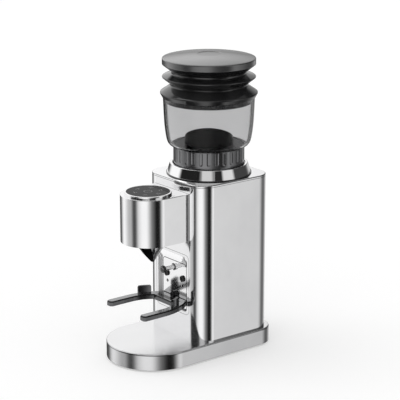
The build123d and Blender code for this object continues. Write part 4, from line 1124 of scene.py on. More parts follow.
@dataclass
class Column:
    """Steel column with its cap and collar."""

    layout: Layout
    palette: Palette
    corner: float = 22.0
    cap_edge: float = 1.3
    cap_sheet: float = 1.5
    cap_wall: float = 1.2
    opening: float = 40.2
    collar_taper: float = 3.8
    collar_bore: float = 45.4
    collar_top: float = 2.0
    collar_wall: float = 2.6

    def build(self) -> None:
        """Makes the sleeve, the cap and the collar."""
        self.palette.dress(refined("column_shell"), POLISHED)
        self._cap()
        self._collar()
        self.palette.dress_nodes(ZINC, "cap_screws")
        self.palette.dress_nodes(THROAT, "cable_gland")

    def _cap(self) -> None:
        """Top cap with its round opening, a dark band as painted shade in its lower joint, and its
        joint line.
        """
        low, high = node_box("top_cap")
        middle = self.layout.axis
        plan = rounded_box_plan(middle, high.x - low.x, high.y - low.y, self.corner, 29)
        spokes = [math.atan2(y - middle[1], x - middle[0]) for x, y in plan(0.0)]

        def hole(radius: float) -> list[Point2]:
            """Circle whose points face those of the outline."""
            return [polar(middle, radius, spoke) for spoke in spokes]

        ceiling = high.z - self.cap_sheet
        rings = edge_rings(plan, high.z, self.cap_edge, True, 5)
        rings += [
            (hole(self.opening + 0.2), high.z), (hole(self.opening), high.z - 0.3),
            (hole(self.opening), ceiling), (plan(self.cap_wall), ceiling),
            (plan(self.cap_wall), low.z + 0.3), (plan(0.2), low.z + 0.3), (plan(0.0), low.z + 0.5),
        ]
        cap = stacked("cap_steel", rings, closed=True)
        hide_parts("top_cap")
        self.palette.dress(cap, POLISHED)
        # The lower band paints the shade in the joint gap between the cap and the column; the upper
        # one is a dark joint line.
        for name, insets, foot, top in (
            ("cap_seal", (0.12, 0.12, 1.0), low.z - 0.1, low.z + 0.4),
            ("cap_line", (-0.03, 0.08, 1.4), high.z - 1.1, high.z - 0.65),
        ):
            self.palette.dress(band(name, plan, insets, foot, top), RUBBER)

    def _collar(self) -> None:
        """Polished cone collar on its gasket."""
        low, high = node_box("collar")
        foot = high.x
        top = foot - self.collar_taper
        inside = foot - self.collar_wall
        ceiling = high.z - self.collar_top
        profile = softened(
            [
                (foot, low.z), (foot, low.z + 1.2), (top, high.z), (self.collar_bore, high.z),
                (self.collar_bore, ceiling), (top - 2.4, ceiling), (inside, low.z + 1.5),
                (inside, low.z),
            ],
            [0.3, 0.8, 0.9, 0.6, 0.2, 0.2, 0.2, 0.2],
        )
        collar = lathe("collar_chrome", profile, self.layout.axis)
        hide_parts("collar")
        self.palette.dress(collar, CHROME)
        near, far, lift = foot - 0.4, foot + 1.0, low.z + 1.3
        ring = softened(
            [(near, low.z), (far, low.z), (far, lift), (near, lift)], [0.1, 0.3, 0.5, 0.1]
        )
        self.palette.dress(lathe("collar_gasket", ring, self.layout.axis), RUBBER)


@dataclass
class Skins:
    """Points and faces of several capped skins that form one mesh."""

    verts: list[Point3] = field(default_factory=list)
    faces: list[list[int]] = field(default_factory=list)

    def add(self, rings: Sequence[Sequence[Point3]]) -> None:
        """Adds a skin through rings of points, with a cap at both ends."""
        self.faces += skin_faces(len(rings), len(rings[0]), False, len(self.verts))
        self.verts += [point for ring in rings for point in ring]


@dataclass
class ForkStation:
    """Recess, fork and peg on the column front.

    Each arc of the fork's plan is given as the Y of its middle and its depth along Y.
    """

    layout: Layout
    palette: Palette
    thickness: float = 6.5
    rise: float = 1.4
    bevel: float = 1.3
    bevel_drop: float = 1.5
    bevel_facing: Span = (0.35, 0.96)
    foot_edge: float = 0.7
    crisp: float = 25.0
    root: float = 26.2
    root_gap: float = 0.4
    outer: float = 40.5
    outer_arc: Span = (-60.0, 58.5)
    inner: float = 29.3
    inner_arc: Span = (-58.0, 38.0)
    arc_steps: int = 24
    tip: float = -90.3
    tip_corner: float = 2.8
    bar_front: float = -30.7
    tab_radii: Span = (35.0, 38.0)
    tab_angles: Span = (14.0, 41.0)
    tab_round: float = 2.3
    tab_sunk: float = 1.0
    boss_radius: float = 4.6
    boss_height: float = 3.0
    channel: tuple[Point2, ...] = ((-18.0, -27.6), (18.0, -27.6), (22.5, -20.6), (-22.5, -20.6))
    channel_sunk: float = 0.6
    channel_rise: float = 0.04
    line_rise: float = 0.04
    line_depth: float = 0.4
    step_half: float = 24.3
    step_foot: float = 3.3
    step_top: float = 14.0

    def build(self) -> None:
        """Makes the recess and what is fixed in it."""
        self._fork()
        skins: dict[str, Piece] = {}
        for node, finish, bevel in (
            ("fork_pan", PAN_STEEL, 0.35),
            ("fork_screw", BLACK_STEEL, 0.2),
            ("pan_screws", BLACK_STEEL, 0.25),
            ("rest_peg", CHROME, 0.0),
            ("peg_bumper", RUBBER, 0.0),
        ):
            skins[node] = refined(node, bevel)
            self.palette.dress(skins[node], finish)
        self.palette.accent(
            skins["fork_pan"], PAN_WALL, lambda middle, normal: abs(normal.x) > FACING
        )
        self.palette.accent(skins["rest_peg"], RUBBER, lambda middle, normal: normal.y < -FACING)
        low, high = node_box("fork_pan")
        self._line("pan_seam", low, high, -0.1, 7.0, 0.45)
        floor = node_box("portafilter_fork")[1].y
        step_low = Vector((-self.step_half, floor, low.z + self.step_foot))
        step_high = Vector((self.step_half, floor, high.z - self.step_top))
        self._line("pan_edge_line", step_low, step_high, 0.0, 4.4, 0.9)

    def _bow(self, half: float, bow: Span, start: float, end: float) -> list[Point2]:
        """Points on an elliptic arc of the fork's plan.

        Args:
            half: Half width at the middle of the arc.
            bow: Y of that middle, and depth along Y.
            start: Y of the first point.
            end: Y of the last point.

        Returns:
            The points, both ends included.
        """
        middle, depth = bow
        points = []
        for step in range(self.arc_steps + 1):
            y = start + (end - start) * step / self.arc_steps
            points.append((half * math.sqrt(1 - ((y - middle) / depth) ** 2), y))
        return points

    def _outline(self, front: float, floor: float) -> list[Point2]:
        """Plan of the fork: two arms that close in towards a bar and a tongue.

        Args:
            front: Front of the column.
            floor: Bottom of the recess.

        Returns:
            The closed outline.
        """
        start = front - self.root_gap
        cut = self.tip_corner
        half = [(self.root, floor), (self.root, start)]
        half += self._bow(self.outer, self.outer_arc, start, self.outer_arc[0])
        half += [(self.outer, self.tip + cut), (self.outer - cut, self.tip)]
        half += [(self.inner + cut, self.tip), (self.inner, self.tip + cut)]
        half += self._bow(self.inner, self.inner_arc, self.inner_arc[0], self.bar_front)
        return half + [(-x, y) for x, y in half[::-1]]

    def _tab(self, side: int, foot: float, top: float) -> list[list[Point3]]:
        """Sections of a curved tab with rounded upper corners.

        Args:
            side: 1 for the right tab, -1 for the left one.
            foot: Height at which it starts, inside the arm.
            top: Height of its upper edge.

        Returns:
            The sections in order along the tab.
        """
        near, far = self.tab_radii
        start, end = (math.radians(angle) for angle in self.tab_angles)
        rows = []
        for step in range(self.arc_steps + 1):
            turn = start + (end - start) * step / self.arc_steps
            spare = self.tab_round - min(turn - start, end - turn) * near
            drop = 0.0
            if spare > 0:
                drop = self.tab_round - math.sqrt(self.tab_round**2 - spare**2)
            row = []
            for radius, level in (
                (near, foot), (near, top - drop), (far, top - drop), (far, foot)
            ):
                x = self.layout.head[0] + side * radius * math.cos(turn)
                row.append((x, self.layout.head[1] + radius * math.sin(turn), level))
            rows.append(row)
        return rows

    def _fork(self) -> None:
        """Fork with bevelled arms, two curved tabs, a screw boss and a dark channel."""
        low, high = node_box("portafilter_fork")
        front, floor = node_box("fork_pan")[0].y, high.y
        bottom = low.z + self.rise
        top = bottom + self.thickness
        outline = self._outline(front, floor)
        skins = Skins()
        levels = (
            (self.foot_edge, bottom), (0.0, bottom + self.foot_edge),
            (0.0, top - self.bevel_drop), (self.bevel, top),
        )
        skins.add([[(x, y, level) for x, y in drawn_in(outline, inset)] for inset, level in levels])
        for side in (-1, 1):
            skins.add(self._tab(side, top - self.tab_sunk, high.z))
        screw_low, screw_high = node_box("fork_screw")
        boss = arc((0.0, (screw_low.z + screw_high.z) / 2), self.boss_radius, 0, 345, 23)
        skins.add([[(x, y, z) for x, z in boss] for y in (floor, floor - self.boss_height)])
        heights = (top - self.channel_sunk, top + self.channel_rise)
        skins.add([[(x, y, height) for x, y in self.channel] for height in heights])
        fork = make_piece("fork_grey_coated", skins.verts, skins.faces, self.crisp)
        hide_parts("portafilter_fork")
        self.palette.dress(fork, FORK)

        def dark(middle: Vector, normal: Vector) -> bool:
            """Whether a face is on a bevel, darkened as painted shade, or on top of the channel or
            a tab.

            Args:
                middle: Middle of the face.
                normal: Its normal.

            Returns:
                True if it is.
            """
            steep, flat = self.bevel_facing
            raised = middle.z > top + self.channel_rise / 2
            return steep < normal.z < flat or (normal.z > steep and raised)

        # Bevels take the dark coat as painted shade; the channel and tab tops are dark as well.
        self.palette.accent(fork, FORK_EDGE, dark)

    def _line(
        self, name: str, low: Vector, high: Vector, inset: float, corner: float, width: float
    ) -> None:
        """Thin dark joint line round the recess.

        Args:
            name: Name of the piece.
            low: Low corner of the recess.
            high: High corner of the recess.
            inset: Distance inside the outline of the recess.
            corner: Corner radius.
            width: Width of the line.
        """
        middle = ((low.x + high.x) / 2, (low.z + high.z) / 2)
        size_x, size_z = high.x - low.x - 2 * inset, high.z - low.z - 2 * inset
        outline = rounded_box_plan(middle, size_x, size_z, corner, 8)
        back, face = low.y + self.line_depth, low.y - self.line_rise
        rings = [
            [(x, y, z) for x, z in outline(reach)]
            for reach, y in ((0.0, back), (0.0, face), (width, face), (width, back))
        ]
        self.palette.dress(skinned(name, rings), RUBBER)


@dataclass
class Head:
    """Head with the touch panel and the spout."""

    layout: Layout
    palette: Palette
    # Size of the dark frame that paints the shade in the seam between the head and the column.
    seam_shade_lap: float = 0.1
    seam_shade_width: float = 1.0
    seam_shade_depth: float = 0.5
    seam_shade_top: float = 0.3
    bezel_seat: float = 2.4
    mark_sunk: float = 0.02
    mark_rise: float = 0.05
    ring_mark: Span = (4.6, 5.4)
    tip_radius: float = 5.9
    tip_gap: float = 0.8
    mouth_angle: float = 57.0
    mouth_reach: float = 5.8
    mouth_gap: float = 2.0
    least_room: float = 0.02
    inward: float = -0.02
    spout_wall: float = 1.2
    spout_rows: int = 14
    spout_neck: Span = (20.0, 21.0)

    def build(self) -> None:
        """Makes the housing, the panel and the spout."""
        for node in ("snout_shell", "snout_floor", "snout_lid"):
            self.palette.dress(refined(node), POLISHED)
        self._seam_shade()
        self._panel()
        self._spout()
        self.palette.dress_nodes(BOARD, "control_board")
        self.palette.dress_nodes(THROAT, "chute")

    def _seam_shade(self) -> None:
        """Dark frame in the joint between the head and the column, as painted shade in the seam."""
        low, high = node_box("snout_shell")
        roof = node_box("snout_lid")[1].z
        rings = []
        for reach, front in (
            (self.seam_shade_lap, 0.0), (self.seam_shade_lap, -self.seam_shade_depth),
            (-self.seam_shade_width, -self.seam_shade_depth), (-self.seam_shade_width, 0.0),
        ):
            half, y = high.x + reach, high.y + front
            foot, top = low.z - reach, roof + reach * self.seam_shade_top
            rings.append([(-half, y, foot), (half, y, foot), (half, y, top), (-half, y, top)])
        self.palette.dress(skinned("head_gasket", rings), RUBBER)

    def _panel(self) -> None:
        """Chrome bezel, black glass and plain printed marks."""
        low, high = node_box("control_bezel")
        glass_low, glass_high = node_box("control_glass")
        lid_top = node_box("snout_lid")[1].z
        outer = high.x
        rim = glass_high.x
        seat = rim - self.bezel_seat
        profile = softened(
            [
                (seat, low.z), (rim - 0.9, low.z), (rim - 0.9, lid_top), (outer, lid_top),
                (outer, high.z), (rim + 0.1, high.z), (rim + 0.1, glass_low.z), (seat, glass_low.z),
            ],
            [0, 0, 0, 0.1, 0.45, 0.2, 0, 0],
        )
        bezel = lathe("panel_bezel", profile, self.layout.head, 160)
        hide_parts("control_bezel")
        self.palette.dress(bezel, CHROME)
        profile = softened(
            [(0.0, glass_low.z), (rim, glass_low.z), (rim, glass_high.z), (0.0, glass_high.z)],
            [0, 0, 0.4, 0],
        )
        disc = lathe("panel_glass", profile, self.layout.head, 128)
        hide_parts("control_glass")
        self.palette.dress(disc, PANEL)
        self._marks(glass_high.z)

    def _marks(self, face: float) -> None:
        """Plain touch marks: a ring in the middle and short strokes round it.

        Args:
            face: Height of the glass.
        """
        near, far = self.ring_mark
        foot, top = face - self.mark_sunk, face + self.mark_rise
        profile = [(near, foot), (far, foot), (far, top), (near, top)]
        self.palette.dress(lathe("panel_ring_mark", profile, self.layout.head, 64), MARK)
        array = RingArray("mark_array")
        for name, count, radius, wide, long, start in (
            ("panel_strokes", 6, 17.5, 1.0, 6.4, 12.0),
            ("panel_ticks", 6, 14.6, 0.8, 3.2, 12.0),
        ):
            half_x, half_y = wide / 2, long / 2
            outline = [(-half_x, -half_y), (half_x, -half_y), (half_x, half_y), (-half_x, half_y)]
            stroke = stacked("stroke", [(outline, -self.mark_sunk), (outline, self.mark_rise)])
            stroke.modifiers.clear()
            marks = array.repeat(
                name, stroke, count, radius, face, self.layout.head, start, self.palette.of(MARK)
            )
            self.palette.dress(marks, MARK)

    def _spout(self) -> None:
        """Tapered spout with a slanted mouth and its chrome inside painted black as shade."""
        low, high = node_box("spout")
        brim = node_box("snout_shell")[0].z
        roof = brim - self.spout_wall
        tip = low.z + self.tip_gap
        lean = math.tan(math.radians(self.mouth_angle))
        flare = (high.x - self.tip_radius) / (brim - tip)
        neck, plug = self.spout_neck
        shares = [row / self.spout_rows for row in range(self.spout_rows + 1)]

        def cone(start: float, end: float, wall: float) -> list[Point2]:
            """Points along the cone between two heights.

            Args:
                start: First height.
                end: Last height.
                wall: Distance inside the outer face.

            Returns:
                Radii and heights.
            """
            levels = [start + (end - start) * share for share in shares]
            return [(self.tip_radius + flare * (level - tip) - wall, level) for level in levels]

        def section(turn: float) -> list[Point2]:
            """Profile of the spout, cut off where the mouth is.

            Args:
                turn: Angle round the spout in radians.

            Returns:
                Radii and heights.
            """
            ahead = math.sin(turn)
            room = 1 + flare * lean * ahead
            rise = brim
            if room > self.least_room:
                rise = (self.mouth_reach - self.tip_radius * ahead) * lean / room
            cut = min(max(tip + rise, tip), brim - self.mouth_gap)
            skin = cone(brim, cut, 0.0) + cone(cut, roof, self.spout_wall)
            return skin + [(neck, roof), (neck, high.z), (plug, high.z), (plug, brim)]

        spout = swept("spout_chrome", self.layout.head, section)
        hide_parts("spout")
        self.palette.dress(spout, CHROME)
        axis = Vector((*self.layout.head, 0.0))

        def inside(middle: Vector, normal: Vector) -> bool:
            """Whether a face looks towards the axis."""
            outward = (middle - axis).to_2d()
            return outward.dot(normal.to_2d()) < self.inward * outward.length

        # The inside faces carry painted shade.
        self.palette.accent(spout, SPOUT_SHADE, inside)


@dataclass
class Adjuster:
    """Adjusting ring with round-ended grip channels under the hopper."""

    layout: Layout
    palette: Palette
    bore: float = 31.3
    seat_bore: float = 34.3
    seat_gap: float = 0.5
    skirt: float = 13.0
    skirt_step: float = 0.2
    top_edge: float = 0.6
    wall_steps: int = 34
    channels: int = 28
    channel_steps: int = 18
    channel_foot: float = 2.2
    channel_top: float = 1.4
    half_width: float = 2.2
    depth: float = 0.45
    flank: float = 0.6

    def build(self) -> None:
        """Makes the ring and cuts its channels."""
        low, high = node_box("adjusting_ring")
        outer = high.x
        lower = outer - self.skirt_step
        seat = node_box("hopper_throat")[0].z - self.seat_gap
        foot = low.z + self.skirt
        rise = high.z - self.top_edge - foot
        profile = [(self.bore, low.z), (lower, low.z), (lower, foot - 0.4)]
        profile += [
            (outer, foot + rise * step / self.wall_steps) for step in range(self.wall_steps + 1)
        ]
        profile += [
            (outer - 0.2, high.z - 0.2), (outer - self.top_edge, high.z),
            (self.seat_bore, high.z), (self.seat_bore, seat), (self.bore, seat),
        ]
        segments = self.channels * self.channel_steps
        core = lathe("ring_core", profile, self.layout.axis, segments)
        self._carve(core, outer, foot + self.channel_foot, high.z - self.channel_top)
        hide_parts("adjusting_ring")
        self.palette.dress(core, RING, Body.ADJUSTER)

    def _carve(self, core: Piece, outer: float, bottom: float, roof: float) -> None:
        """Sinks round-ended channels into the outer wall.

        Args:
            core: The ring.
            outer: Radius of the wall.
            bottom: Height of the lower end of the channels.
            roof: Height of their upper end.
        """
        pitch = FULL_TURN / self.channels
        turn_low = bottom + self.half_width
        wall = outer - 0.05
        for vert in core.data.vertices:
            x = vert.co.x / MM - self.layout.axis[0]
            y = vert.co.y / MM - self.layout.axis[1]
            z = vert.co.z / MM
            radius = math.hypot(x, y)
            if radius < wall or not bottom < z < roof:
                continue
            angle = math.atan2(y, x)
            aside = (angle - pitch * round(angle / pitch)) * outer
            away = math.hypot(aside, min(z - turn_low, 0.0))
            share = max(0.0, min(1.0, (self.half_width - away) / self.flank))
            sunk = (radius - self.depth * share * share * (3 - 2 * share)) / radius
            vert.co.x = (self.layout.axis[0] + x * sunk) * MM
            vert.co.y = (self.layout.axis[1] + y * sunk) * MM


@dataclass
class Hopper:
    """Smoked bowl with its black throat.

    The shoulder is given as radii and heights above the foot of the bowl.
    """

    layout: Layout
    palette: Palette
    wall: float = 2.2
    shoulder: tuple[Point2, ...] = (
        (45.2, 0.0), (47.4, 0.8), (49.5, 2.3), (51.1, 4.4), (52.2, 7.0), (52.9, 10.0),
        (53.7, 14.6), (54.4, 19.6), (55.0, 24.8), (55.5, 31.0), (55.9, 38.0), (56.3, 46.0),
        (56.6, 54.0),
    )
    rim_edge: float = 0.4
    mouth: float = 43.4
    spigot: float = 34.0
    flange: float = 43.2
    flange_height: float = 1.6
    guard_radii: Span = (27.0, 29.9)
    guard_height: float = 9.0
    guard_least: float = 1.6
    guard_slope: float = 0.56
    guard_heading: float = -40.0
    ease: float = 0.5

    def build(self) -> None:
        """Makes the bowl and the throat."""
        self._bowl()
        self._throat()

    def _bowl(self) -> None:
        """Clear bowl with a curved shoulder, on its seat ring."""
        low, high = node_box("hopper_bowl")
        rim = high.x
        outer = self.shoulder
        profile = [(radius, low.z + rise) for radius, rise in outer]
        profile += [
            (rim, high.z - self.rim_edge), (rim - self.rim_edge, high.z),
            (rim - self.wall, high.z),
        ]
        for index in range(len(outer) - 1, -1, -1):
            before = outer[max(index - 1, 0)]
            after = outer[min(index + 1, len(outer) - 1)]
            along = Vector((after[0] - before[0], after[1] - before[1])).normalized()
            level = low.z + outer[index][1] + self.wall * along.x
            if level > low.z + self.wall + 0.2:
                profile.append((outer[index][0] - self.wall * along.y, level))
        profile += [(self.mouth, low.z + 2.0), (self.mouth, low.z)]
        bowl = lathe("hopper_clear", profile, self.layout.axis, sharp=40.0)
        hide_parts("hopper_bowl")
        self.palette.dress(bowl, SMOKED, Body.HOPPER)
        profile = softened(
            [
                (43.6, low.z), (45.6, low.z), (46.9, low.z + 1.0), (46.3, low.z + 1.5),
                (43.6, low.z + 0.4),
            ],
            [0.1, 0.2, 0.2, 0.2, 0.1],
        )
        seat = lathe("bowl_seat", profile, self.layout.axis)
        self.palette.dress(seat, RUBBER, Body.HOPPER)

    def _throat(self) -> None:
        """Flange, spigot and a guard tube cut on a slant."""
        foot = node_box("hopper_throat")[0].z
        floor = node_box("hopper_bowl")[0].z + 0.2
        deck = floor + self.flange_height
        bore, tube = self.guard_radii
        ease = self.ease

        def section(turn: float) -> list[Point2]:
            """Profile of the throat, cut off on the slant.

            Args:
                turn: Angle round the throat in radians.

            Returns:
                Radii and heights.
            """
            facing = math.cos(turn - math.radians(self.guard_heading))
            slant = tube * self.guard_slope * facing
            top = max(deck + self.guard_height + slant, deck + self.guard_least)
            return [
                (bore, foot), (self.spigot, foot), (self.spigot, floor), (self.flange, floor),
                (self.flange, deck - ease), (self.flange - ease, deck), (tube, deck),
                (tube, top - ease), (tube - ease, top), (bore + ease, top), (bore, top - ease),
            ]

        throat = swept("hopper_throat_black", self.layout.axis, section)
        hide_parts("hopper_throat")
        self.palette.dress(throat, THROAT, Body.HOPPER)


@dataclass
class BellowsLid:
    """Rubber lid with folds under a push top."""

    layout: Layout
    palette: Palette
    plug_gap: float = 3.0
    plug_bore: float = 50.5
    travel: float = 15.0
    neck: float = 46.5
    fin: float = 57.9
    fold_wall: float = 2.0
    rim_rise: float = 9.2
    rim_height: float = 8.0
    rim_edge: float = 2.2
    crown_steps: int = 12
    inset_radius: float = 13.8

    def build(self) -> None:
        """Makes the plug, the folds and the push disc."""
        self._plug()
        self._folds()
        self._disc()

    def _plug(self) -> None:
        """Plug ring with seal ribs and the wide lip."""
        low, high = node_box("lid_plug")
        lip = high.x
        foot = low.z + self.plug_gap
        seat = node_box("hopper_bowl")[1].z
        profile = softened(
            [
                (self.plug_bore, foot), (53.2, foot), (53.5, foot + 1.6), (52.7, foot + 2.0),
                (52.7, foot + 2.8), (53.5, foot + 3.2), (53.5, foot + 4.6), (52.8, foot + 5.0),
                (52.8, seat), (lip - 2.6, seat), (lip, seat + 4.8), (lip, seat + 6.0),
                (lip - 1.4, high.z), (self.plug_bore, high.z),
            ],
            [0.5, 0.5, 0.4, 0.3, 0.3, 0.4, 0.4, 0.3, 0.3, 0.8, 0.7, 0.7, 0.5, 0.2],
        )
        plug = lathe("lid_plug_rubber", profile, self.layout.axis)
        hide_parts("lid_plug")
        self.palette.dress(plug, RUBBER, Body.LID)

    def _folds(self) -> None:
        """Two necks and a fin."""
        low, high = node_box("bellows")
        neck, fin = self.neck, self.fin
        inside = neck - self.fold_wall
        profile = softened(
            [
                (58.9, low.z), (neck, low.z + 8.4), (fin, low.z + 17.6), (fin, low.z + 18.8),
                (neck, high.z - 2.4), (neck, high.z), (inside, high.z), (inside, high.z - 0.8),
                (fin - 4.6, low.z + 18.2), (inside, low.z + 8.6), (54.0, low.z),
            ],
            [0, 2.2, 0.9, 0.9, 2.2, 0, 0, 0.5, 1.4, 2.0, 0],
            7,
        )
        folds = lathe("bellows_folds", profile, self.layout.axis, sharp=60.0)
        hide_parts("bellows")
        self.palette.dress(folds, RUBBER, Body.LID)
        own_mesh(folds)

    def _disc(self) -> None:
        """Push disc with a shallow crown and a bare round inset."""
        low, high = node_box("push_disc")
        rim = high.x
        rim_low = low.z + self.rim_rise
        rim_top = rim_low + self.rim_height
        crown = high.z - rim_top
        start, end = rim - self.rim_edge, self.inset_radius + 0.6
        profile = [
            (0.0, rim_top - 3.0), (42.0, rim_top - 4.0), (43.9, low.z + 0.4), (43.9, low.z),
            (46.5, low.z),
        ]
        profile += softened(
            [(46.6, low.z + 0.4), (rim, rim_low), (rim, rim_top - 0.6), (start, rim_top)],
            [0, 0.9, 1.4, 0],
        )[:-1]
        for step in range(self.crown_steps + 1):
            radius = start + (end - start) * step / self.crown_steps
            profile.append((radius, rim_top + crown * (1 - (radius / start) ** 2)))
        edge = profile[-1][1]
        profile += [
            (self.inset_radius + 0.1, edge - 0.2), (self.inset_radius - 0.1, edge - 0.4),
            (0.0, edge - 0.2),
        ]
        disc = lathe("push_disc_rubber", profile, self.layout.axis)
        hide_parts("push_disc")
        self.palette.dress(disc, RUBBER, Body.PUSH)
        self.palette.accent(disc, DISC_RUBBER, lambda middle, normal: middle.z > rim_low - 0.2)


@dataclass
class Works:
    """Burrs, gears and motor inside, kept as the solids of the frame."""

    palette: Palette

    def build(self) -> None:
        """Dresses each inner solid."""
        for finish, nodes in (
            (CAST, ("grind_chamber", "gearbox_tray", "gearbox_cover")),
            (BEARING, ("upper_bearing", "lower_bearing", "motor_bearings")),
            (BURR, ("drive_shaft", "cone_burr", "ring_burr", "idler_pin", "output_gear")),
            (ZINC, ("burr_nut", "burr_retainer", "retainer_screws", "gearbox_screws")),
            (ZINC, ("motor_plate", "support_posts", "post_screws")),
            (BRASS, ("burr_carrier", "motor_pinion")),
            (NYLON, ("idler_gear",)),
            (THROAT, ("sweeper",)),
            (MOTOR, ("motor_can", "motor_end_cap")),
            (COPPER, ("motor_armature",)),
        ):
            self.palette.dress_nodes(finish, *nodes)


# Studio


@dataclass(frozen=True)
class Flag:
    """Dark card beside the set, seen only in polished surfaces."""

    azimuth: float
    half_width: float
    core: float
    darkness: float


@dataclass
class Studio:
    """Camera, floor and soft light.

    Elevations are in degrees. The ceiling is a darker band between two elevations, and each fade
    is given by its two ends.
    """

    camera_place: Point3 = (1.5047, -1.1575, 0.7281)
    camera_back: Point3 = (0.7563, -0.5955, 0.2709)
    lens: float = 143.14
    low_flags: tuple[Flag, ...] = (
        Flag(4.0, 28.0, 5.0, 0.98),
        Flag(-14.0, 32.0, 4.0, 0.80),
        Flag(-95.0, 20.0, 2.0, 0.85),
        Flag(-105.0, 48.0, 12.0, 0.50),
        Flag(165.0, 42.0, 12.0, 0.90),
        Flag(78.0, 36.0, 6.0, 0.75),
        Flag(100.0, 75.0, 55.0, 0.42),
    )
    high_flags: tuple[Flag, ...] = (
        Flag(-94.0, 40.0, 26.0, 0.985),
        Flag(-46.0, 30.0, 12.0, 0.62),
        Flag(-14.0, 20.0, 11.0, 0.98),
        Flag(19.0, 24.0, 14.0, 0.30),
        Flag(76.0, 46.0, 35.0, 0.95),
        Flag(120.0, 24.0, 8.0, 0.55),
    )
    flag_fade: Span = (-6.0, 2.0)
    ceiling: float = 0.22
    ceiling_fade: Span = (38.0, 44.0)
    zenith_fade: Span = (70.0, 78.0)
    mirrored_strength: float = 1.05
    plain_strength: float = 0.75
    floor_half: float = 12.0
    floor_grey: float = 0.74
    floor_lift: float = 0.34

    def build(self) -> None:
        """Sets up the view, the floor, the lamps and the world."""
        scene = bpy.context.scene
        scene.view_settings.view_transform = "Standard"
        camera = bpy.data.objects.new("camera", bpy.data.cameras.new("camera"))
        camera.data.lens = self.lens
        camera.data.sensor_width = 36.0
        camera.data.clip_end = 50.0
        camera.location = self.camera_place
        camera.rotation_euler = (-Vector(self.camera_back)).to_track_quat("-Z", "Y").to_euler()
        scene.collection.objects.link(camera)
        scene.camera = camera
        self._floor()
        self._lamps()
        self._world()

    def _floor(self) -> None:
        """Pale floor that keeps the shadow and stays out of reflections."""
        mesh = bpy.data.meshes.new("floor")
        size = self.floor_half
        square = [(-size, -size, 0), (size, -size, 0), (size, size, 0), (-size, size, 0)]
        mesh.from_pydata(square, [], [(0, 1, 2, 3)])
        floor = bpy.data.objects.new("floor", mesh)
        bpy.context.scene.collection.objects.link(floor)
        material = bpy.data.materials.new("pale_floor")
        material.use_nodes = True
        tree = material.node_tree
        shader = tree.nodes["Principled BSDF"]
        for label, value in (
            ("Base Color", (self.floor_grey, self.floor_grey, self.floor_grey, 1.0)),
            ("Roughness", 1.0),
            ("Specular IOR Level", 0.0),
            ("Emission Color", (1.0, 1.0, 1.0, 1.0)),
        ):
            shader.inputs[label].default_value = value
        path = add_node(tree, "ShaderNodeLightPath")
        lift = add_node(tree, "ShaderNodeMath", {1: self.floor_lift}, operation="MULTIPLY")
        tree.links.new(path.outputs["Is Camera Ray"], lift.inputs[0])
        tree.links.new(lift.outputs["Value"], shader.inputs["Emission Strength"])
        mesh.materials.append(material)
        floor.visible_glossy = False
        floor.visible_transmission = True

    def _lamps(self) -> None:
        """One broad key from the upper left and a weaker fill."""
        for name, strength, angle, direction in (
            ("key", 0.45, 40.0, (0.55, 0.45, -1.0)),
            ("fill", 0.2, 60.0, (-0.6, 0.5, -0.8)),
        ):
            lamp = bpy.data.lights.new(name, "SUN")
            lamp.energy = strength
            lamp.angle = math.radians(angle)
            lamp.specular_factor = 0.0
            holder = bpy.data.objects.new(name, lamp)
            holder.rotation_euler = Vector(direction).to_track_quat("-Z", "Y").to_euler()
            bpy.context.scene.collection.objects.link(holder)

    def _world(self) -> None:
        """White studio with dark cards that only polished surfaces see."""
        world = bpy.data.worlds.new("studio")
        bpy.context.scene.world = world
        world.use_nodes = True
        tree = world.node_tree
        tree.nodes.clear()
        white = (1.0, 1.0, 1.0, 1.0)
        mirrored = add_node(tree, "ShaderNodeBackground", {"Strength": self.mirrored_strength})
        plain = add_node(
            tree, "ShaderNodeBackground", {"Color": white, "Strength": self.plain_strength}
        )
        seen = add_node(tree, "ShaderNodeBackground", {"Color": white})
        path = add_node(tree, "ShaderNodeLightPath")
        direct = add_node(tree, "ShaderNodeMath", operation="MAXIMUM")
        indirect = add_node(tree, "ShaderNodeMixShader")
        whole = add_node(tree, "ShaderNodeMixShader")
        out = add_node(tree, "ShaderNodeOutputWorld")
        for source, output, target, socket in (
            (path, "Is Camera Ray", direct, 0),
            (path, "Is Transmission Ray", direct, 1),
            (path, "Is Glossy Ray", indirect, 0),
            (plain, 0, indirect, 1),
            (mirrored, 0, indirect, 2),
            (direct, 0, whole, 0),
            (indirect, 0, whole, 1),
            (seen, 0, whole, 2),
            (whole, 0, out, "Surface"),
        ):
            tree.links.new(source.outputs[output], target.inputs[socket])
        tree.links.new(self._mirrored_level(tree), mirrored.inputs["Color"])

    def _mirrored_level(self, tree: Tree) -> Socket:
        """Light level that polished surfaces mirror from each direction.

        Args:
            tree: World tree.

        Returns:
            Socket with the level.
        """
        place = add_node(tree, "ShaderNodeTexCoord")
        split = add_node(tree, "ShaderNodeSeparateXYZ")
        flat = add_node(tree, "ShaderNodeCombineXYZ")
        unit = add_node(tree, "ShaderNodeVectorMath", operation="NORMALIZE")
        tree.links.new(place.outputs["Generated"], split.inputs["Vector"])
        for axis in ("X", "Y"):
            tree.links.new(split.outputs[axis], flat.inputs[axis])
        tree.links.new(flat.outputs["Vector"], unit.inputs[0])
        heading = unit.outputs["Vector"]
        level = self._cards(tree, heading, self.low_flags)
        cards = self._cards(tree, heading, self.high_flags)
        level = self._over(tree, split.outputs["Z"], self.flag_fade, level, cards)
        for fade, value in ((self.ceiling_fade, self.ceiling), (self.zenith_fade, 1.0)):
            above = add_node(tree, "ShaderNodeValue").outputs[0]
            above.default_value = value
            level = self._over(tree, split.outputs["Z"], fade, level, above)
        return level

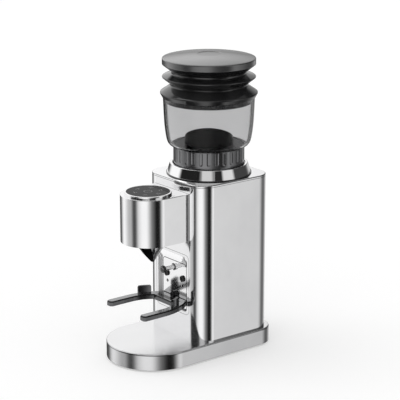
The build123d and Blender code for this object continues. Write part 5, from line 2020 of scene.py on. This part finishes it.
    @staticmethod
    def _cards(tree: Tree, heading: Socket, flags: Sequence[Flag]) -> Socket:
        """Light level round the horizon with the dark cards taken out.

        Args:
            tree: World tree.
            heading: Horizontal unit direction.
            flags: The cards.

        Returns:
            Socket with the level.
        """
        level: Socket | None = None
        for flag in flags:
            facing = add_node(
                tree, "ShaderNodeVectorMath",
                {1: (*polar((0.0, 0.0), 1.0, math.radians(flag.azimuth)), 0.0)},
                operation="DOT_PRODUCT",
            )
            angle = add_node(tree, "ShaderNodeMath", operation="ARCCOSINE")
            tree.links.new(heading, facing.inputs[0])
            tree.links.new(facing.outputs["Value"], angle.inputs[0])
            span = (math.radians(flag.core), math.radians(flag.half_width))
            card = eased(tree, angle.outputs["Value"], span, (1.0 - flag.darkness, 1.0))
            if level is None:
                level = card
                continue
            both = add_node(tree, "ShaderNodeMath", operation="MULTIPLY")
            tree.links.new(level, both.inputs[0])
            tree.links.new(card, both.inputs[1])
            level = both.outputs["Value"]
        return level

    @staticmethod
    def _over(tree: Tree, rise: Socket, fade: Span, below: Socket, above: Socket) -> Socket:
        """Fades from one level to another between two elevations.

        Args:
            tree: World tree.
            rise: Vertical part of the direction.
            fade: Elevations in degrees where the fade starts and ends.
            below: Level under the fade.
            above: Level over the fade.

        Returns:
            Socket with the level.
        """
        start, end = (math.sin(math.radians(elevation)) for elevation in fade)
        mix = add_node(tree, "ShaderNodeMix")
        tree.links.new(eased(tree, rise, (start, end)), mix.inputs[0])
        tree.links.new(below, mix.inputs[2])
        tree.links.new(above, mix.inputs[3])
        return mix.outputs[0]


def main() -> None:
    """Builds the visual model and the studio."""
    logging.basicConfig(level=logging.INFO, format="%(message)s")
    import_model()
    layout = Layout.read()
    palette = Palette()
    Studio().build()
    Base(palette).build()
    Column(layout, palette).build()
    ForkStation(layout, palette).build()
    Head(layout, palette).build()
    Adjuster(layout, palette).build()
    Hopper(layout, palette).build()
    BellowsLid(layout, palette).build()
    Works(palette).build()
    bpy.context.view_layer.update()


if __name__ == "__main__":
    main()
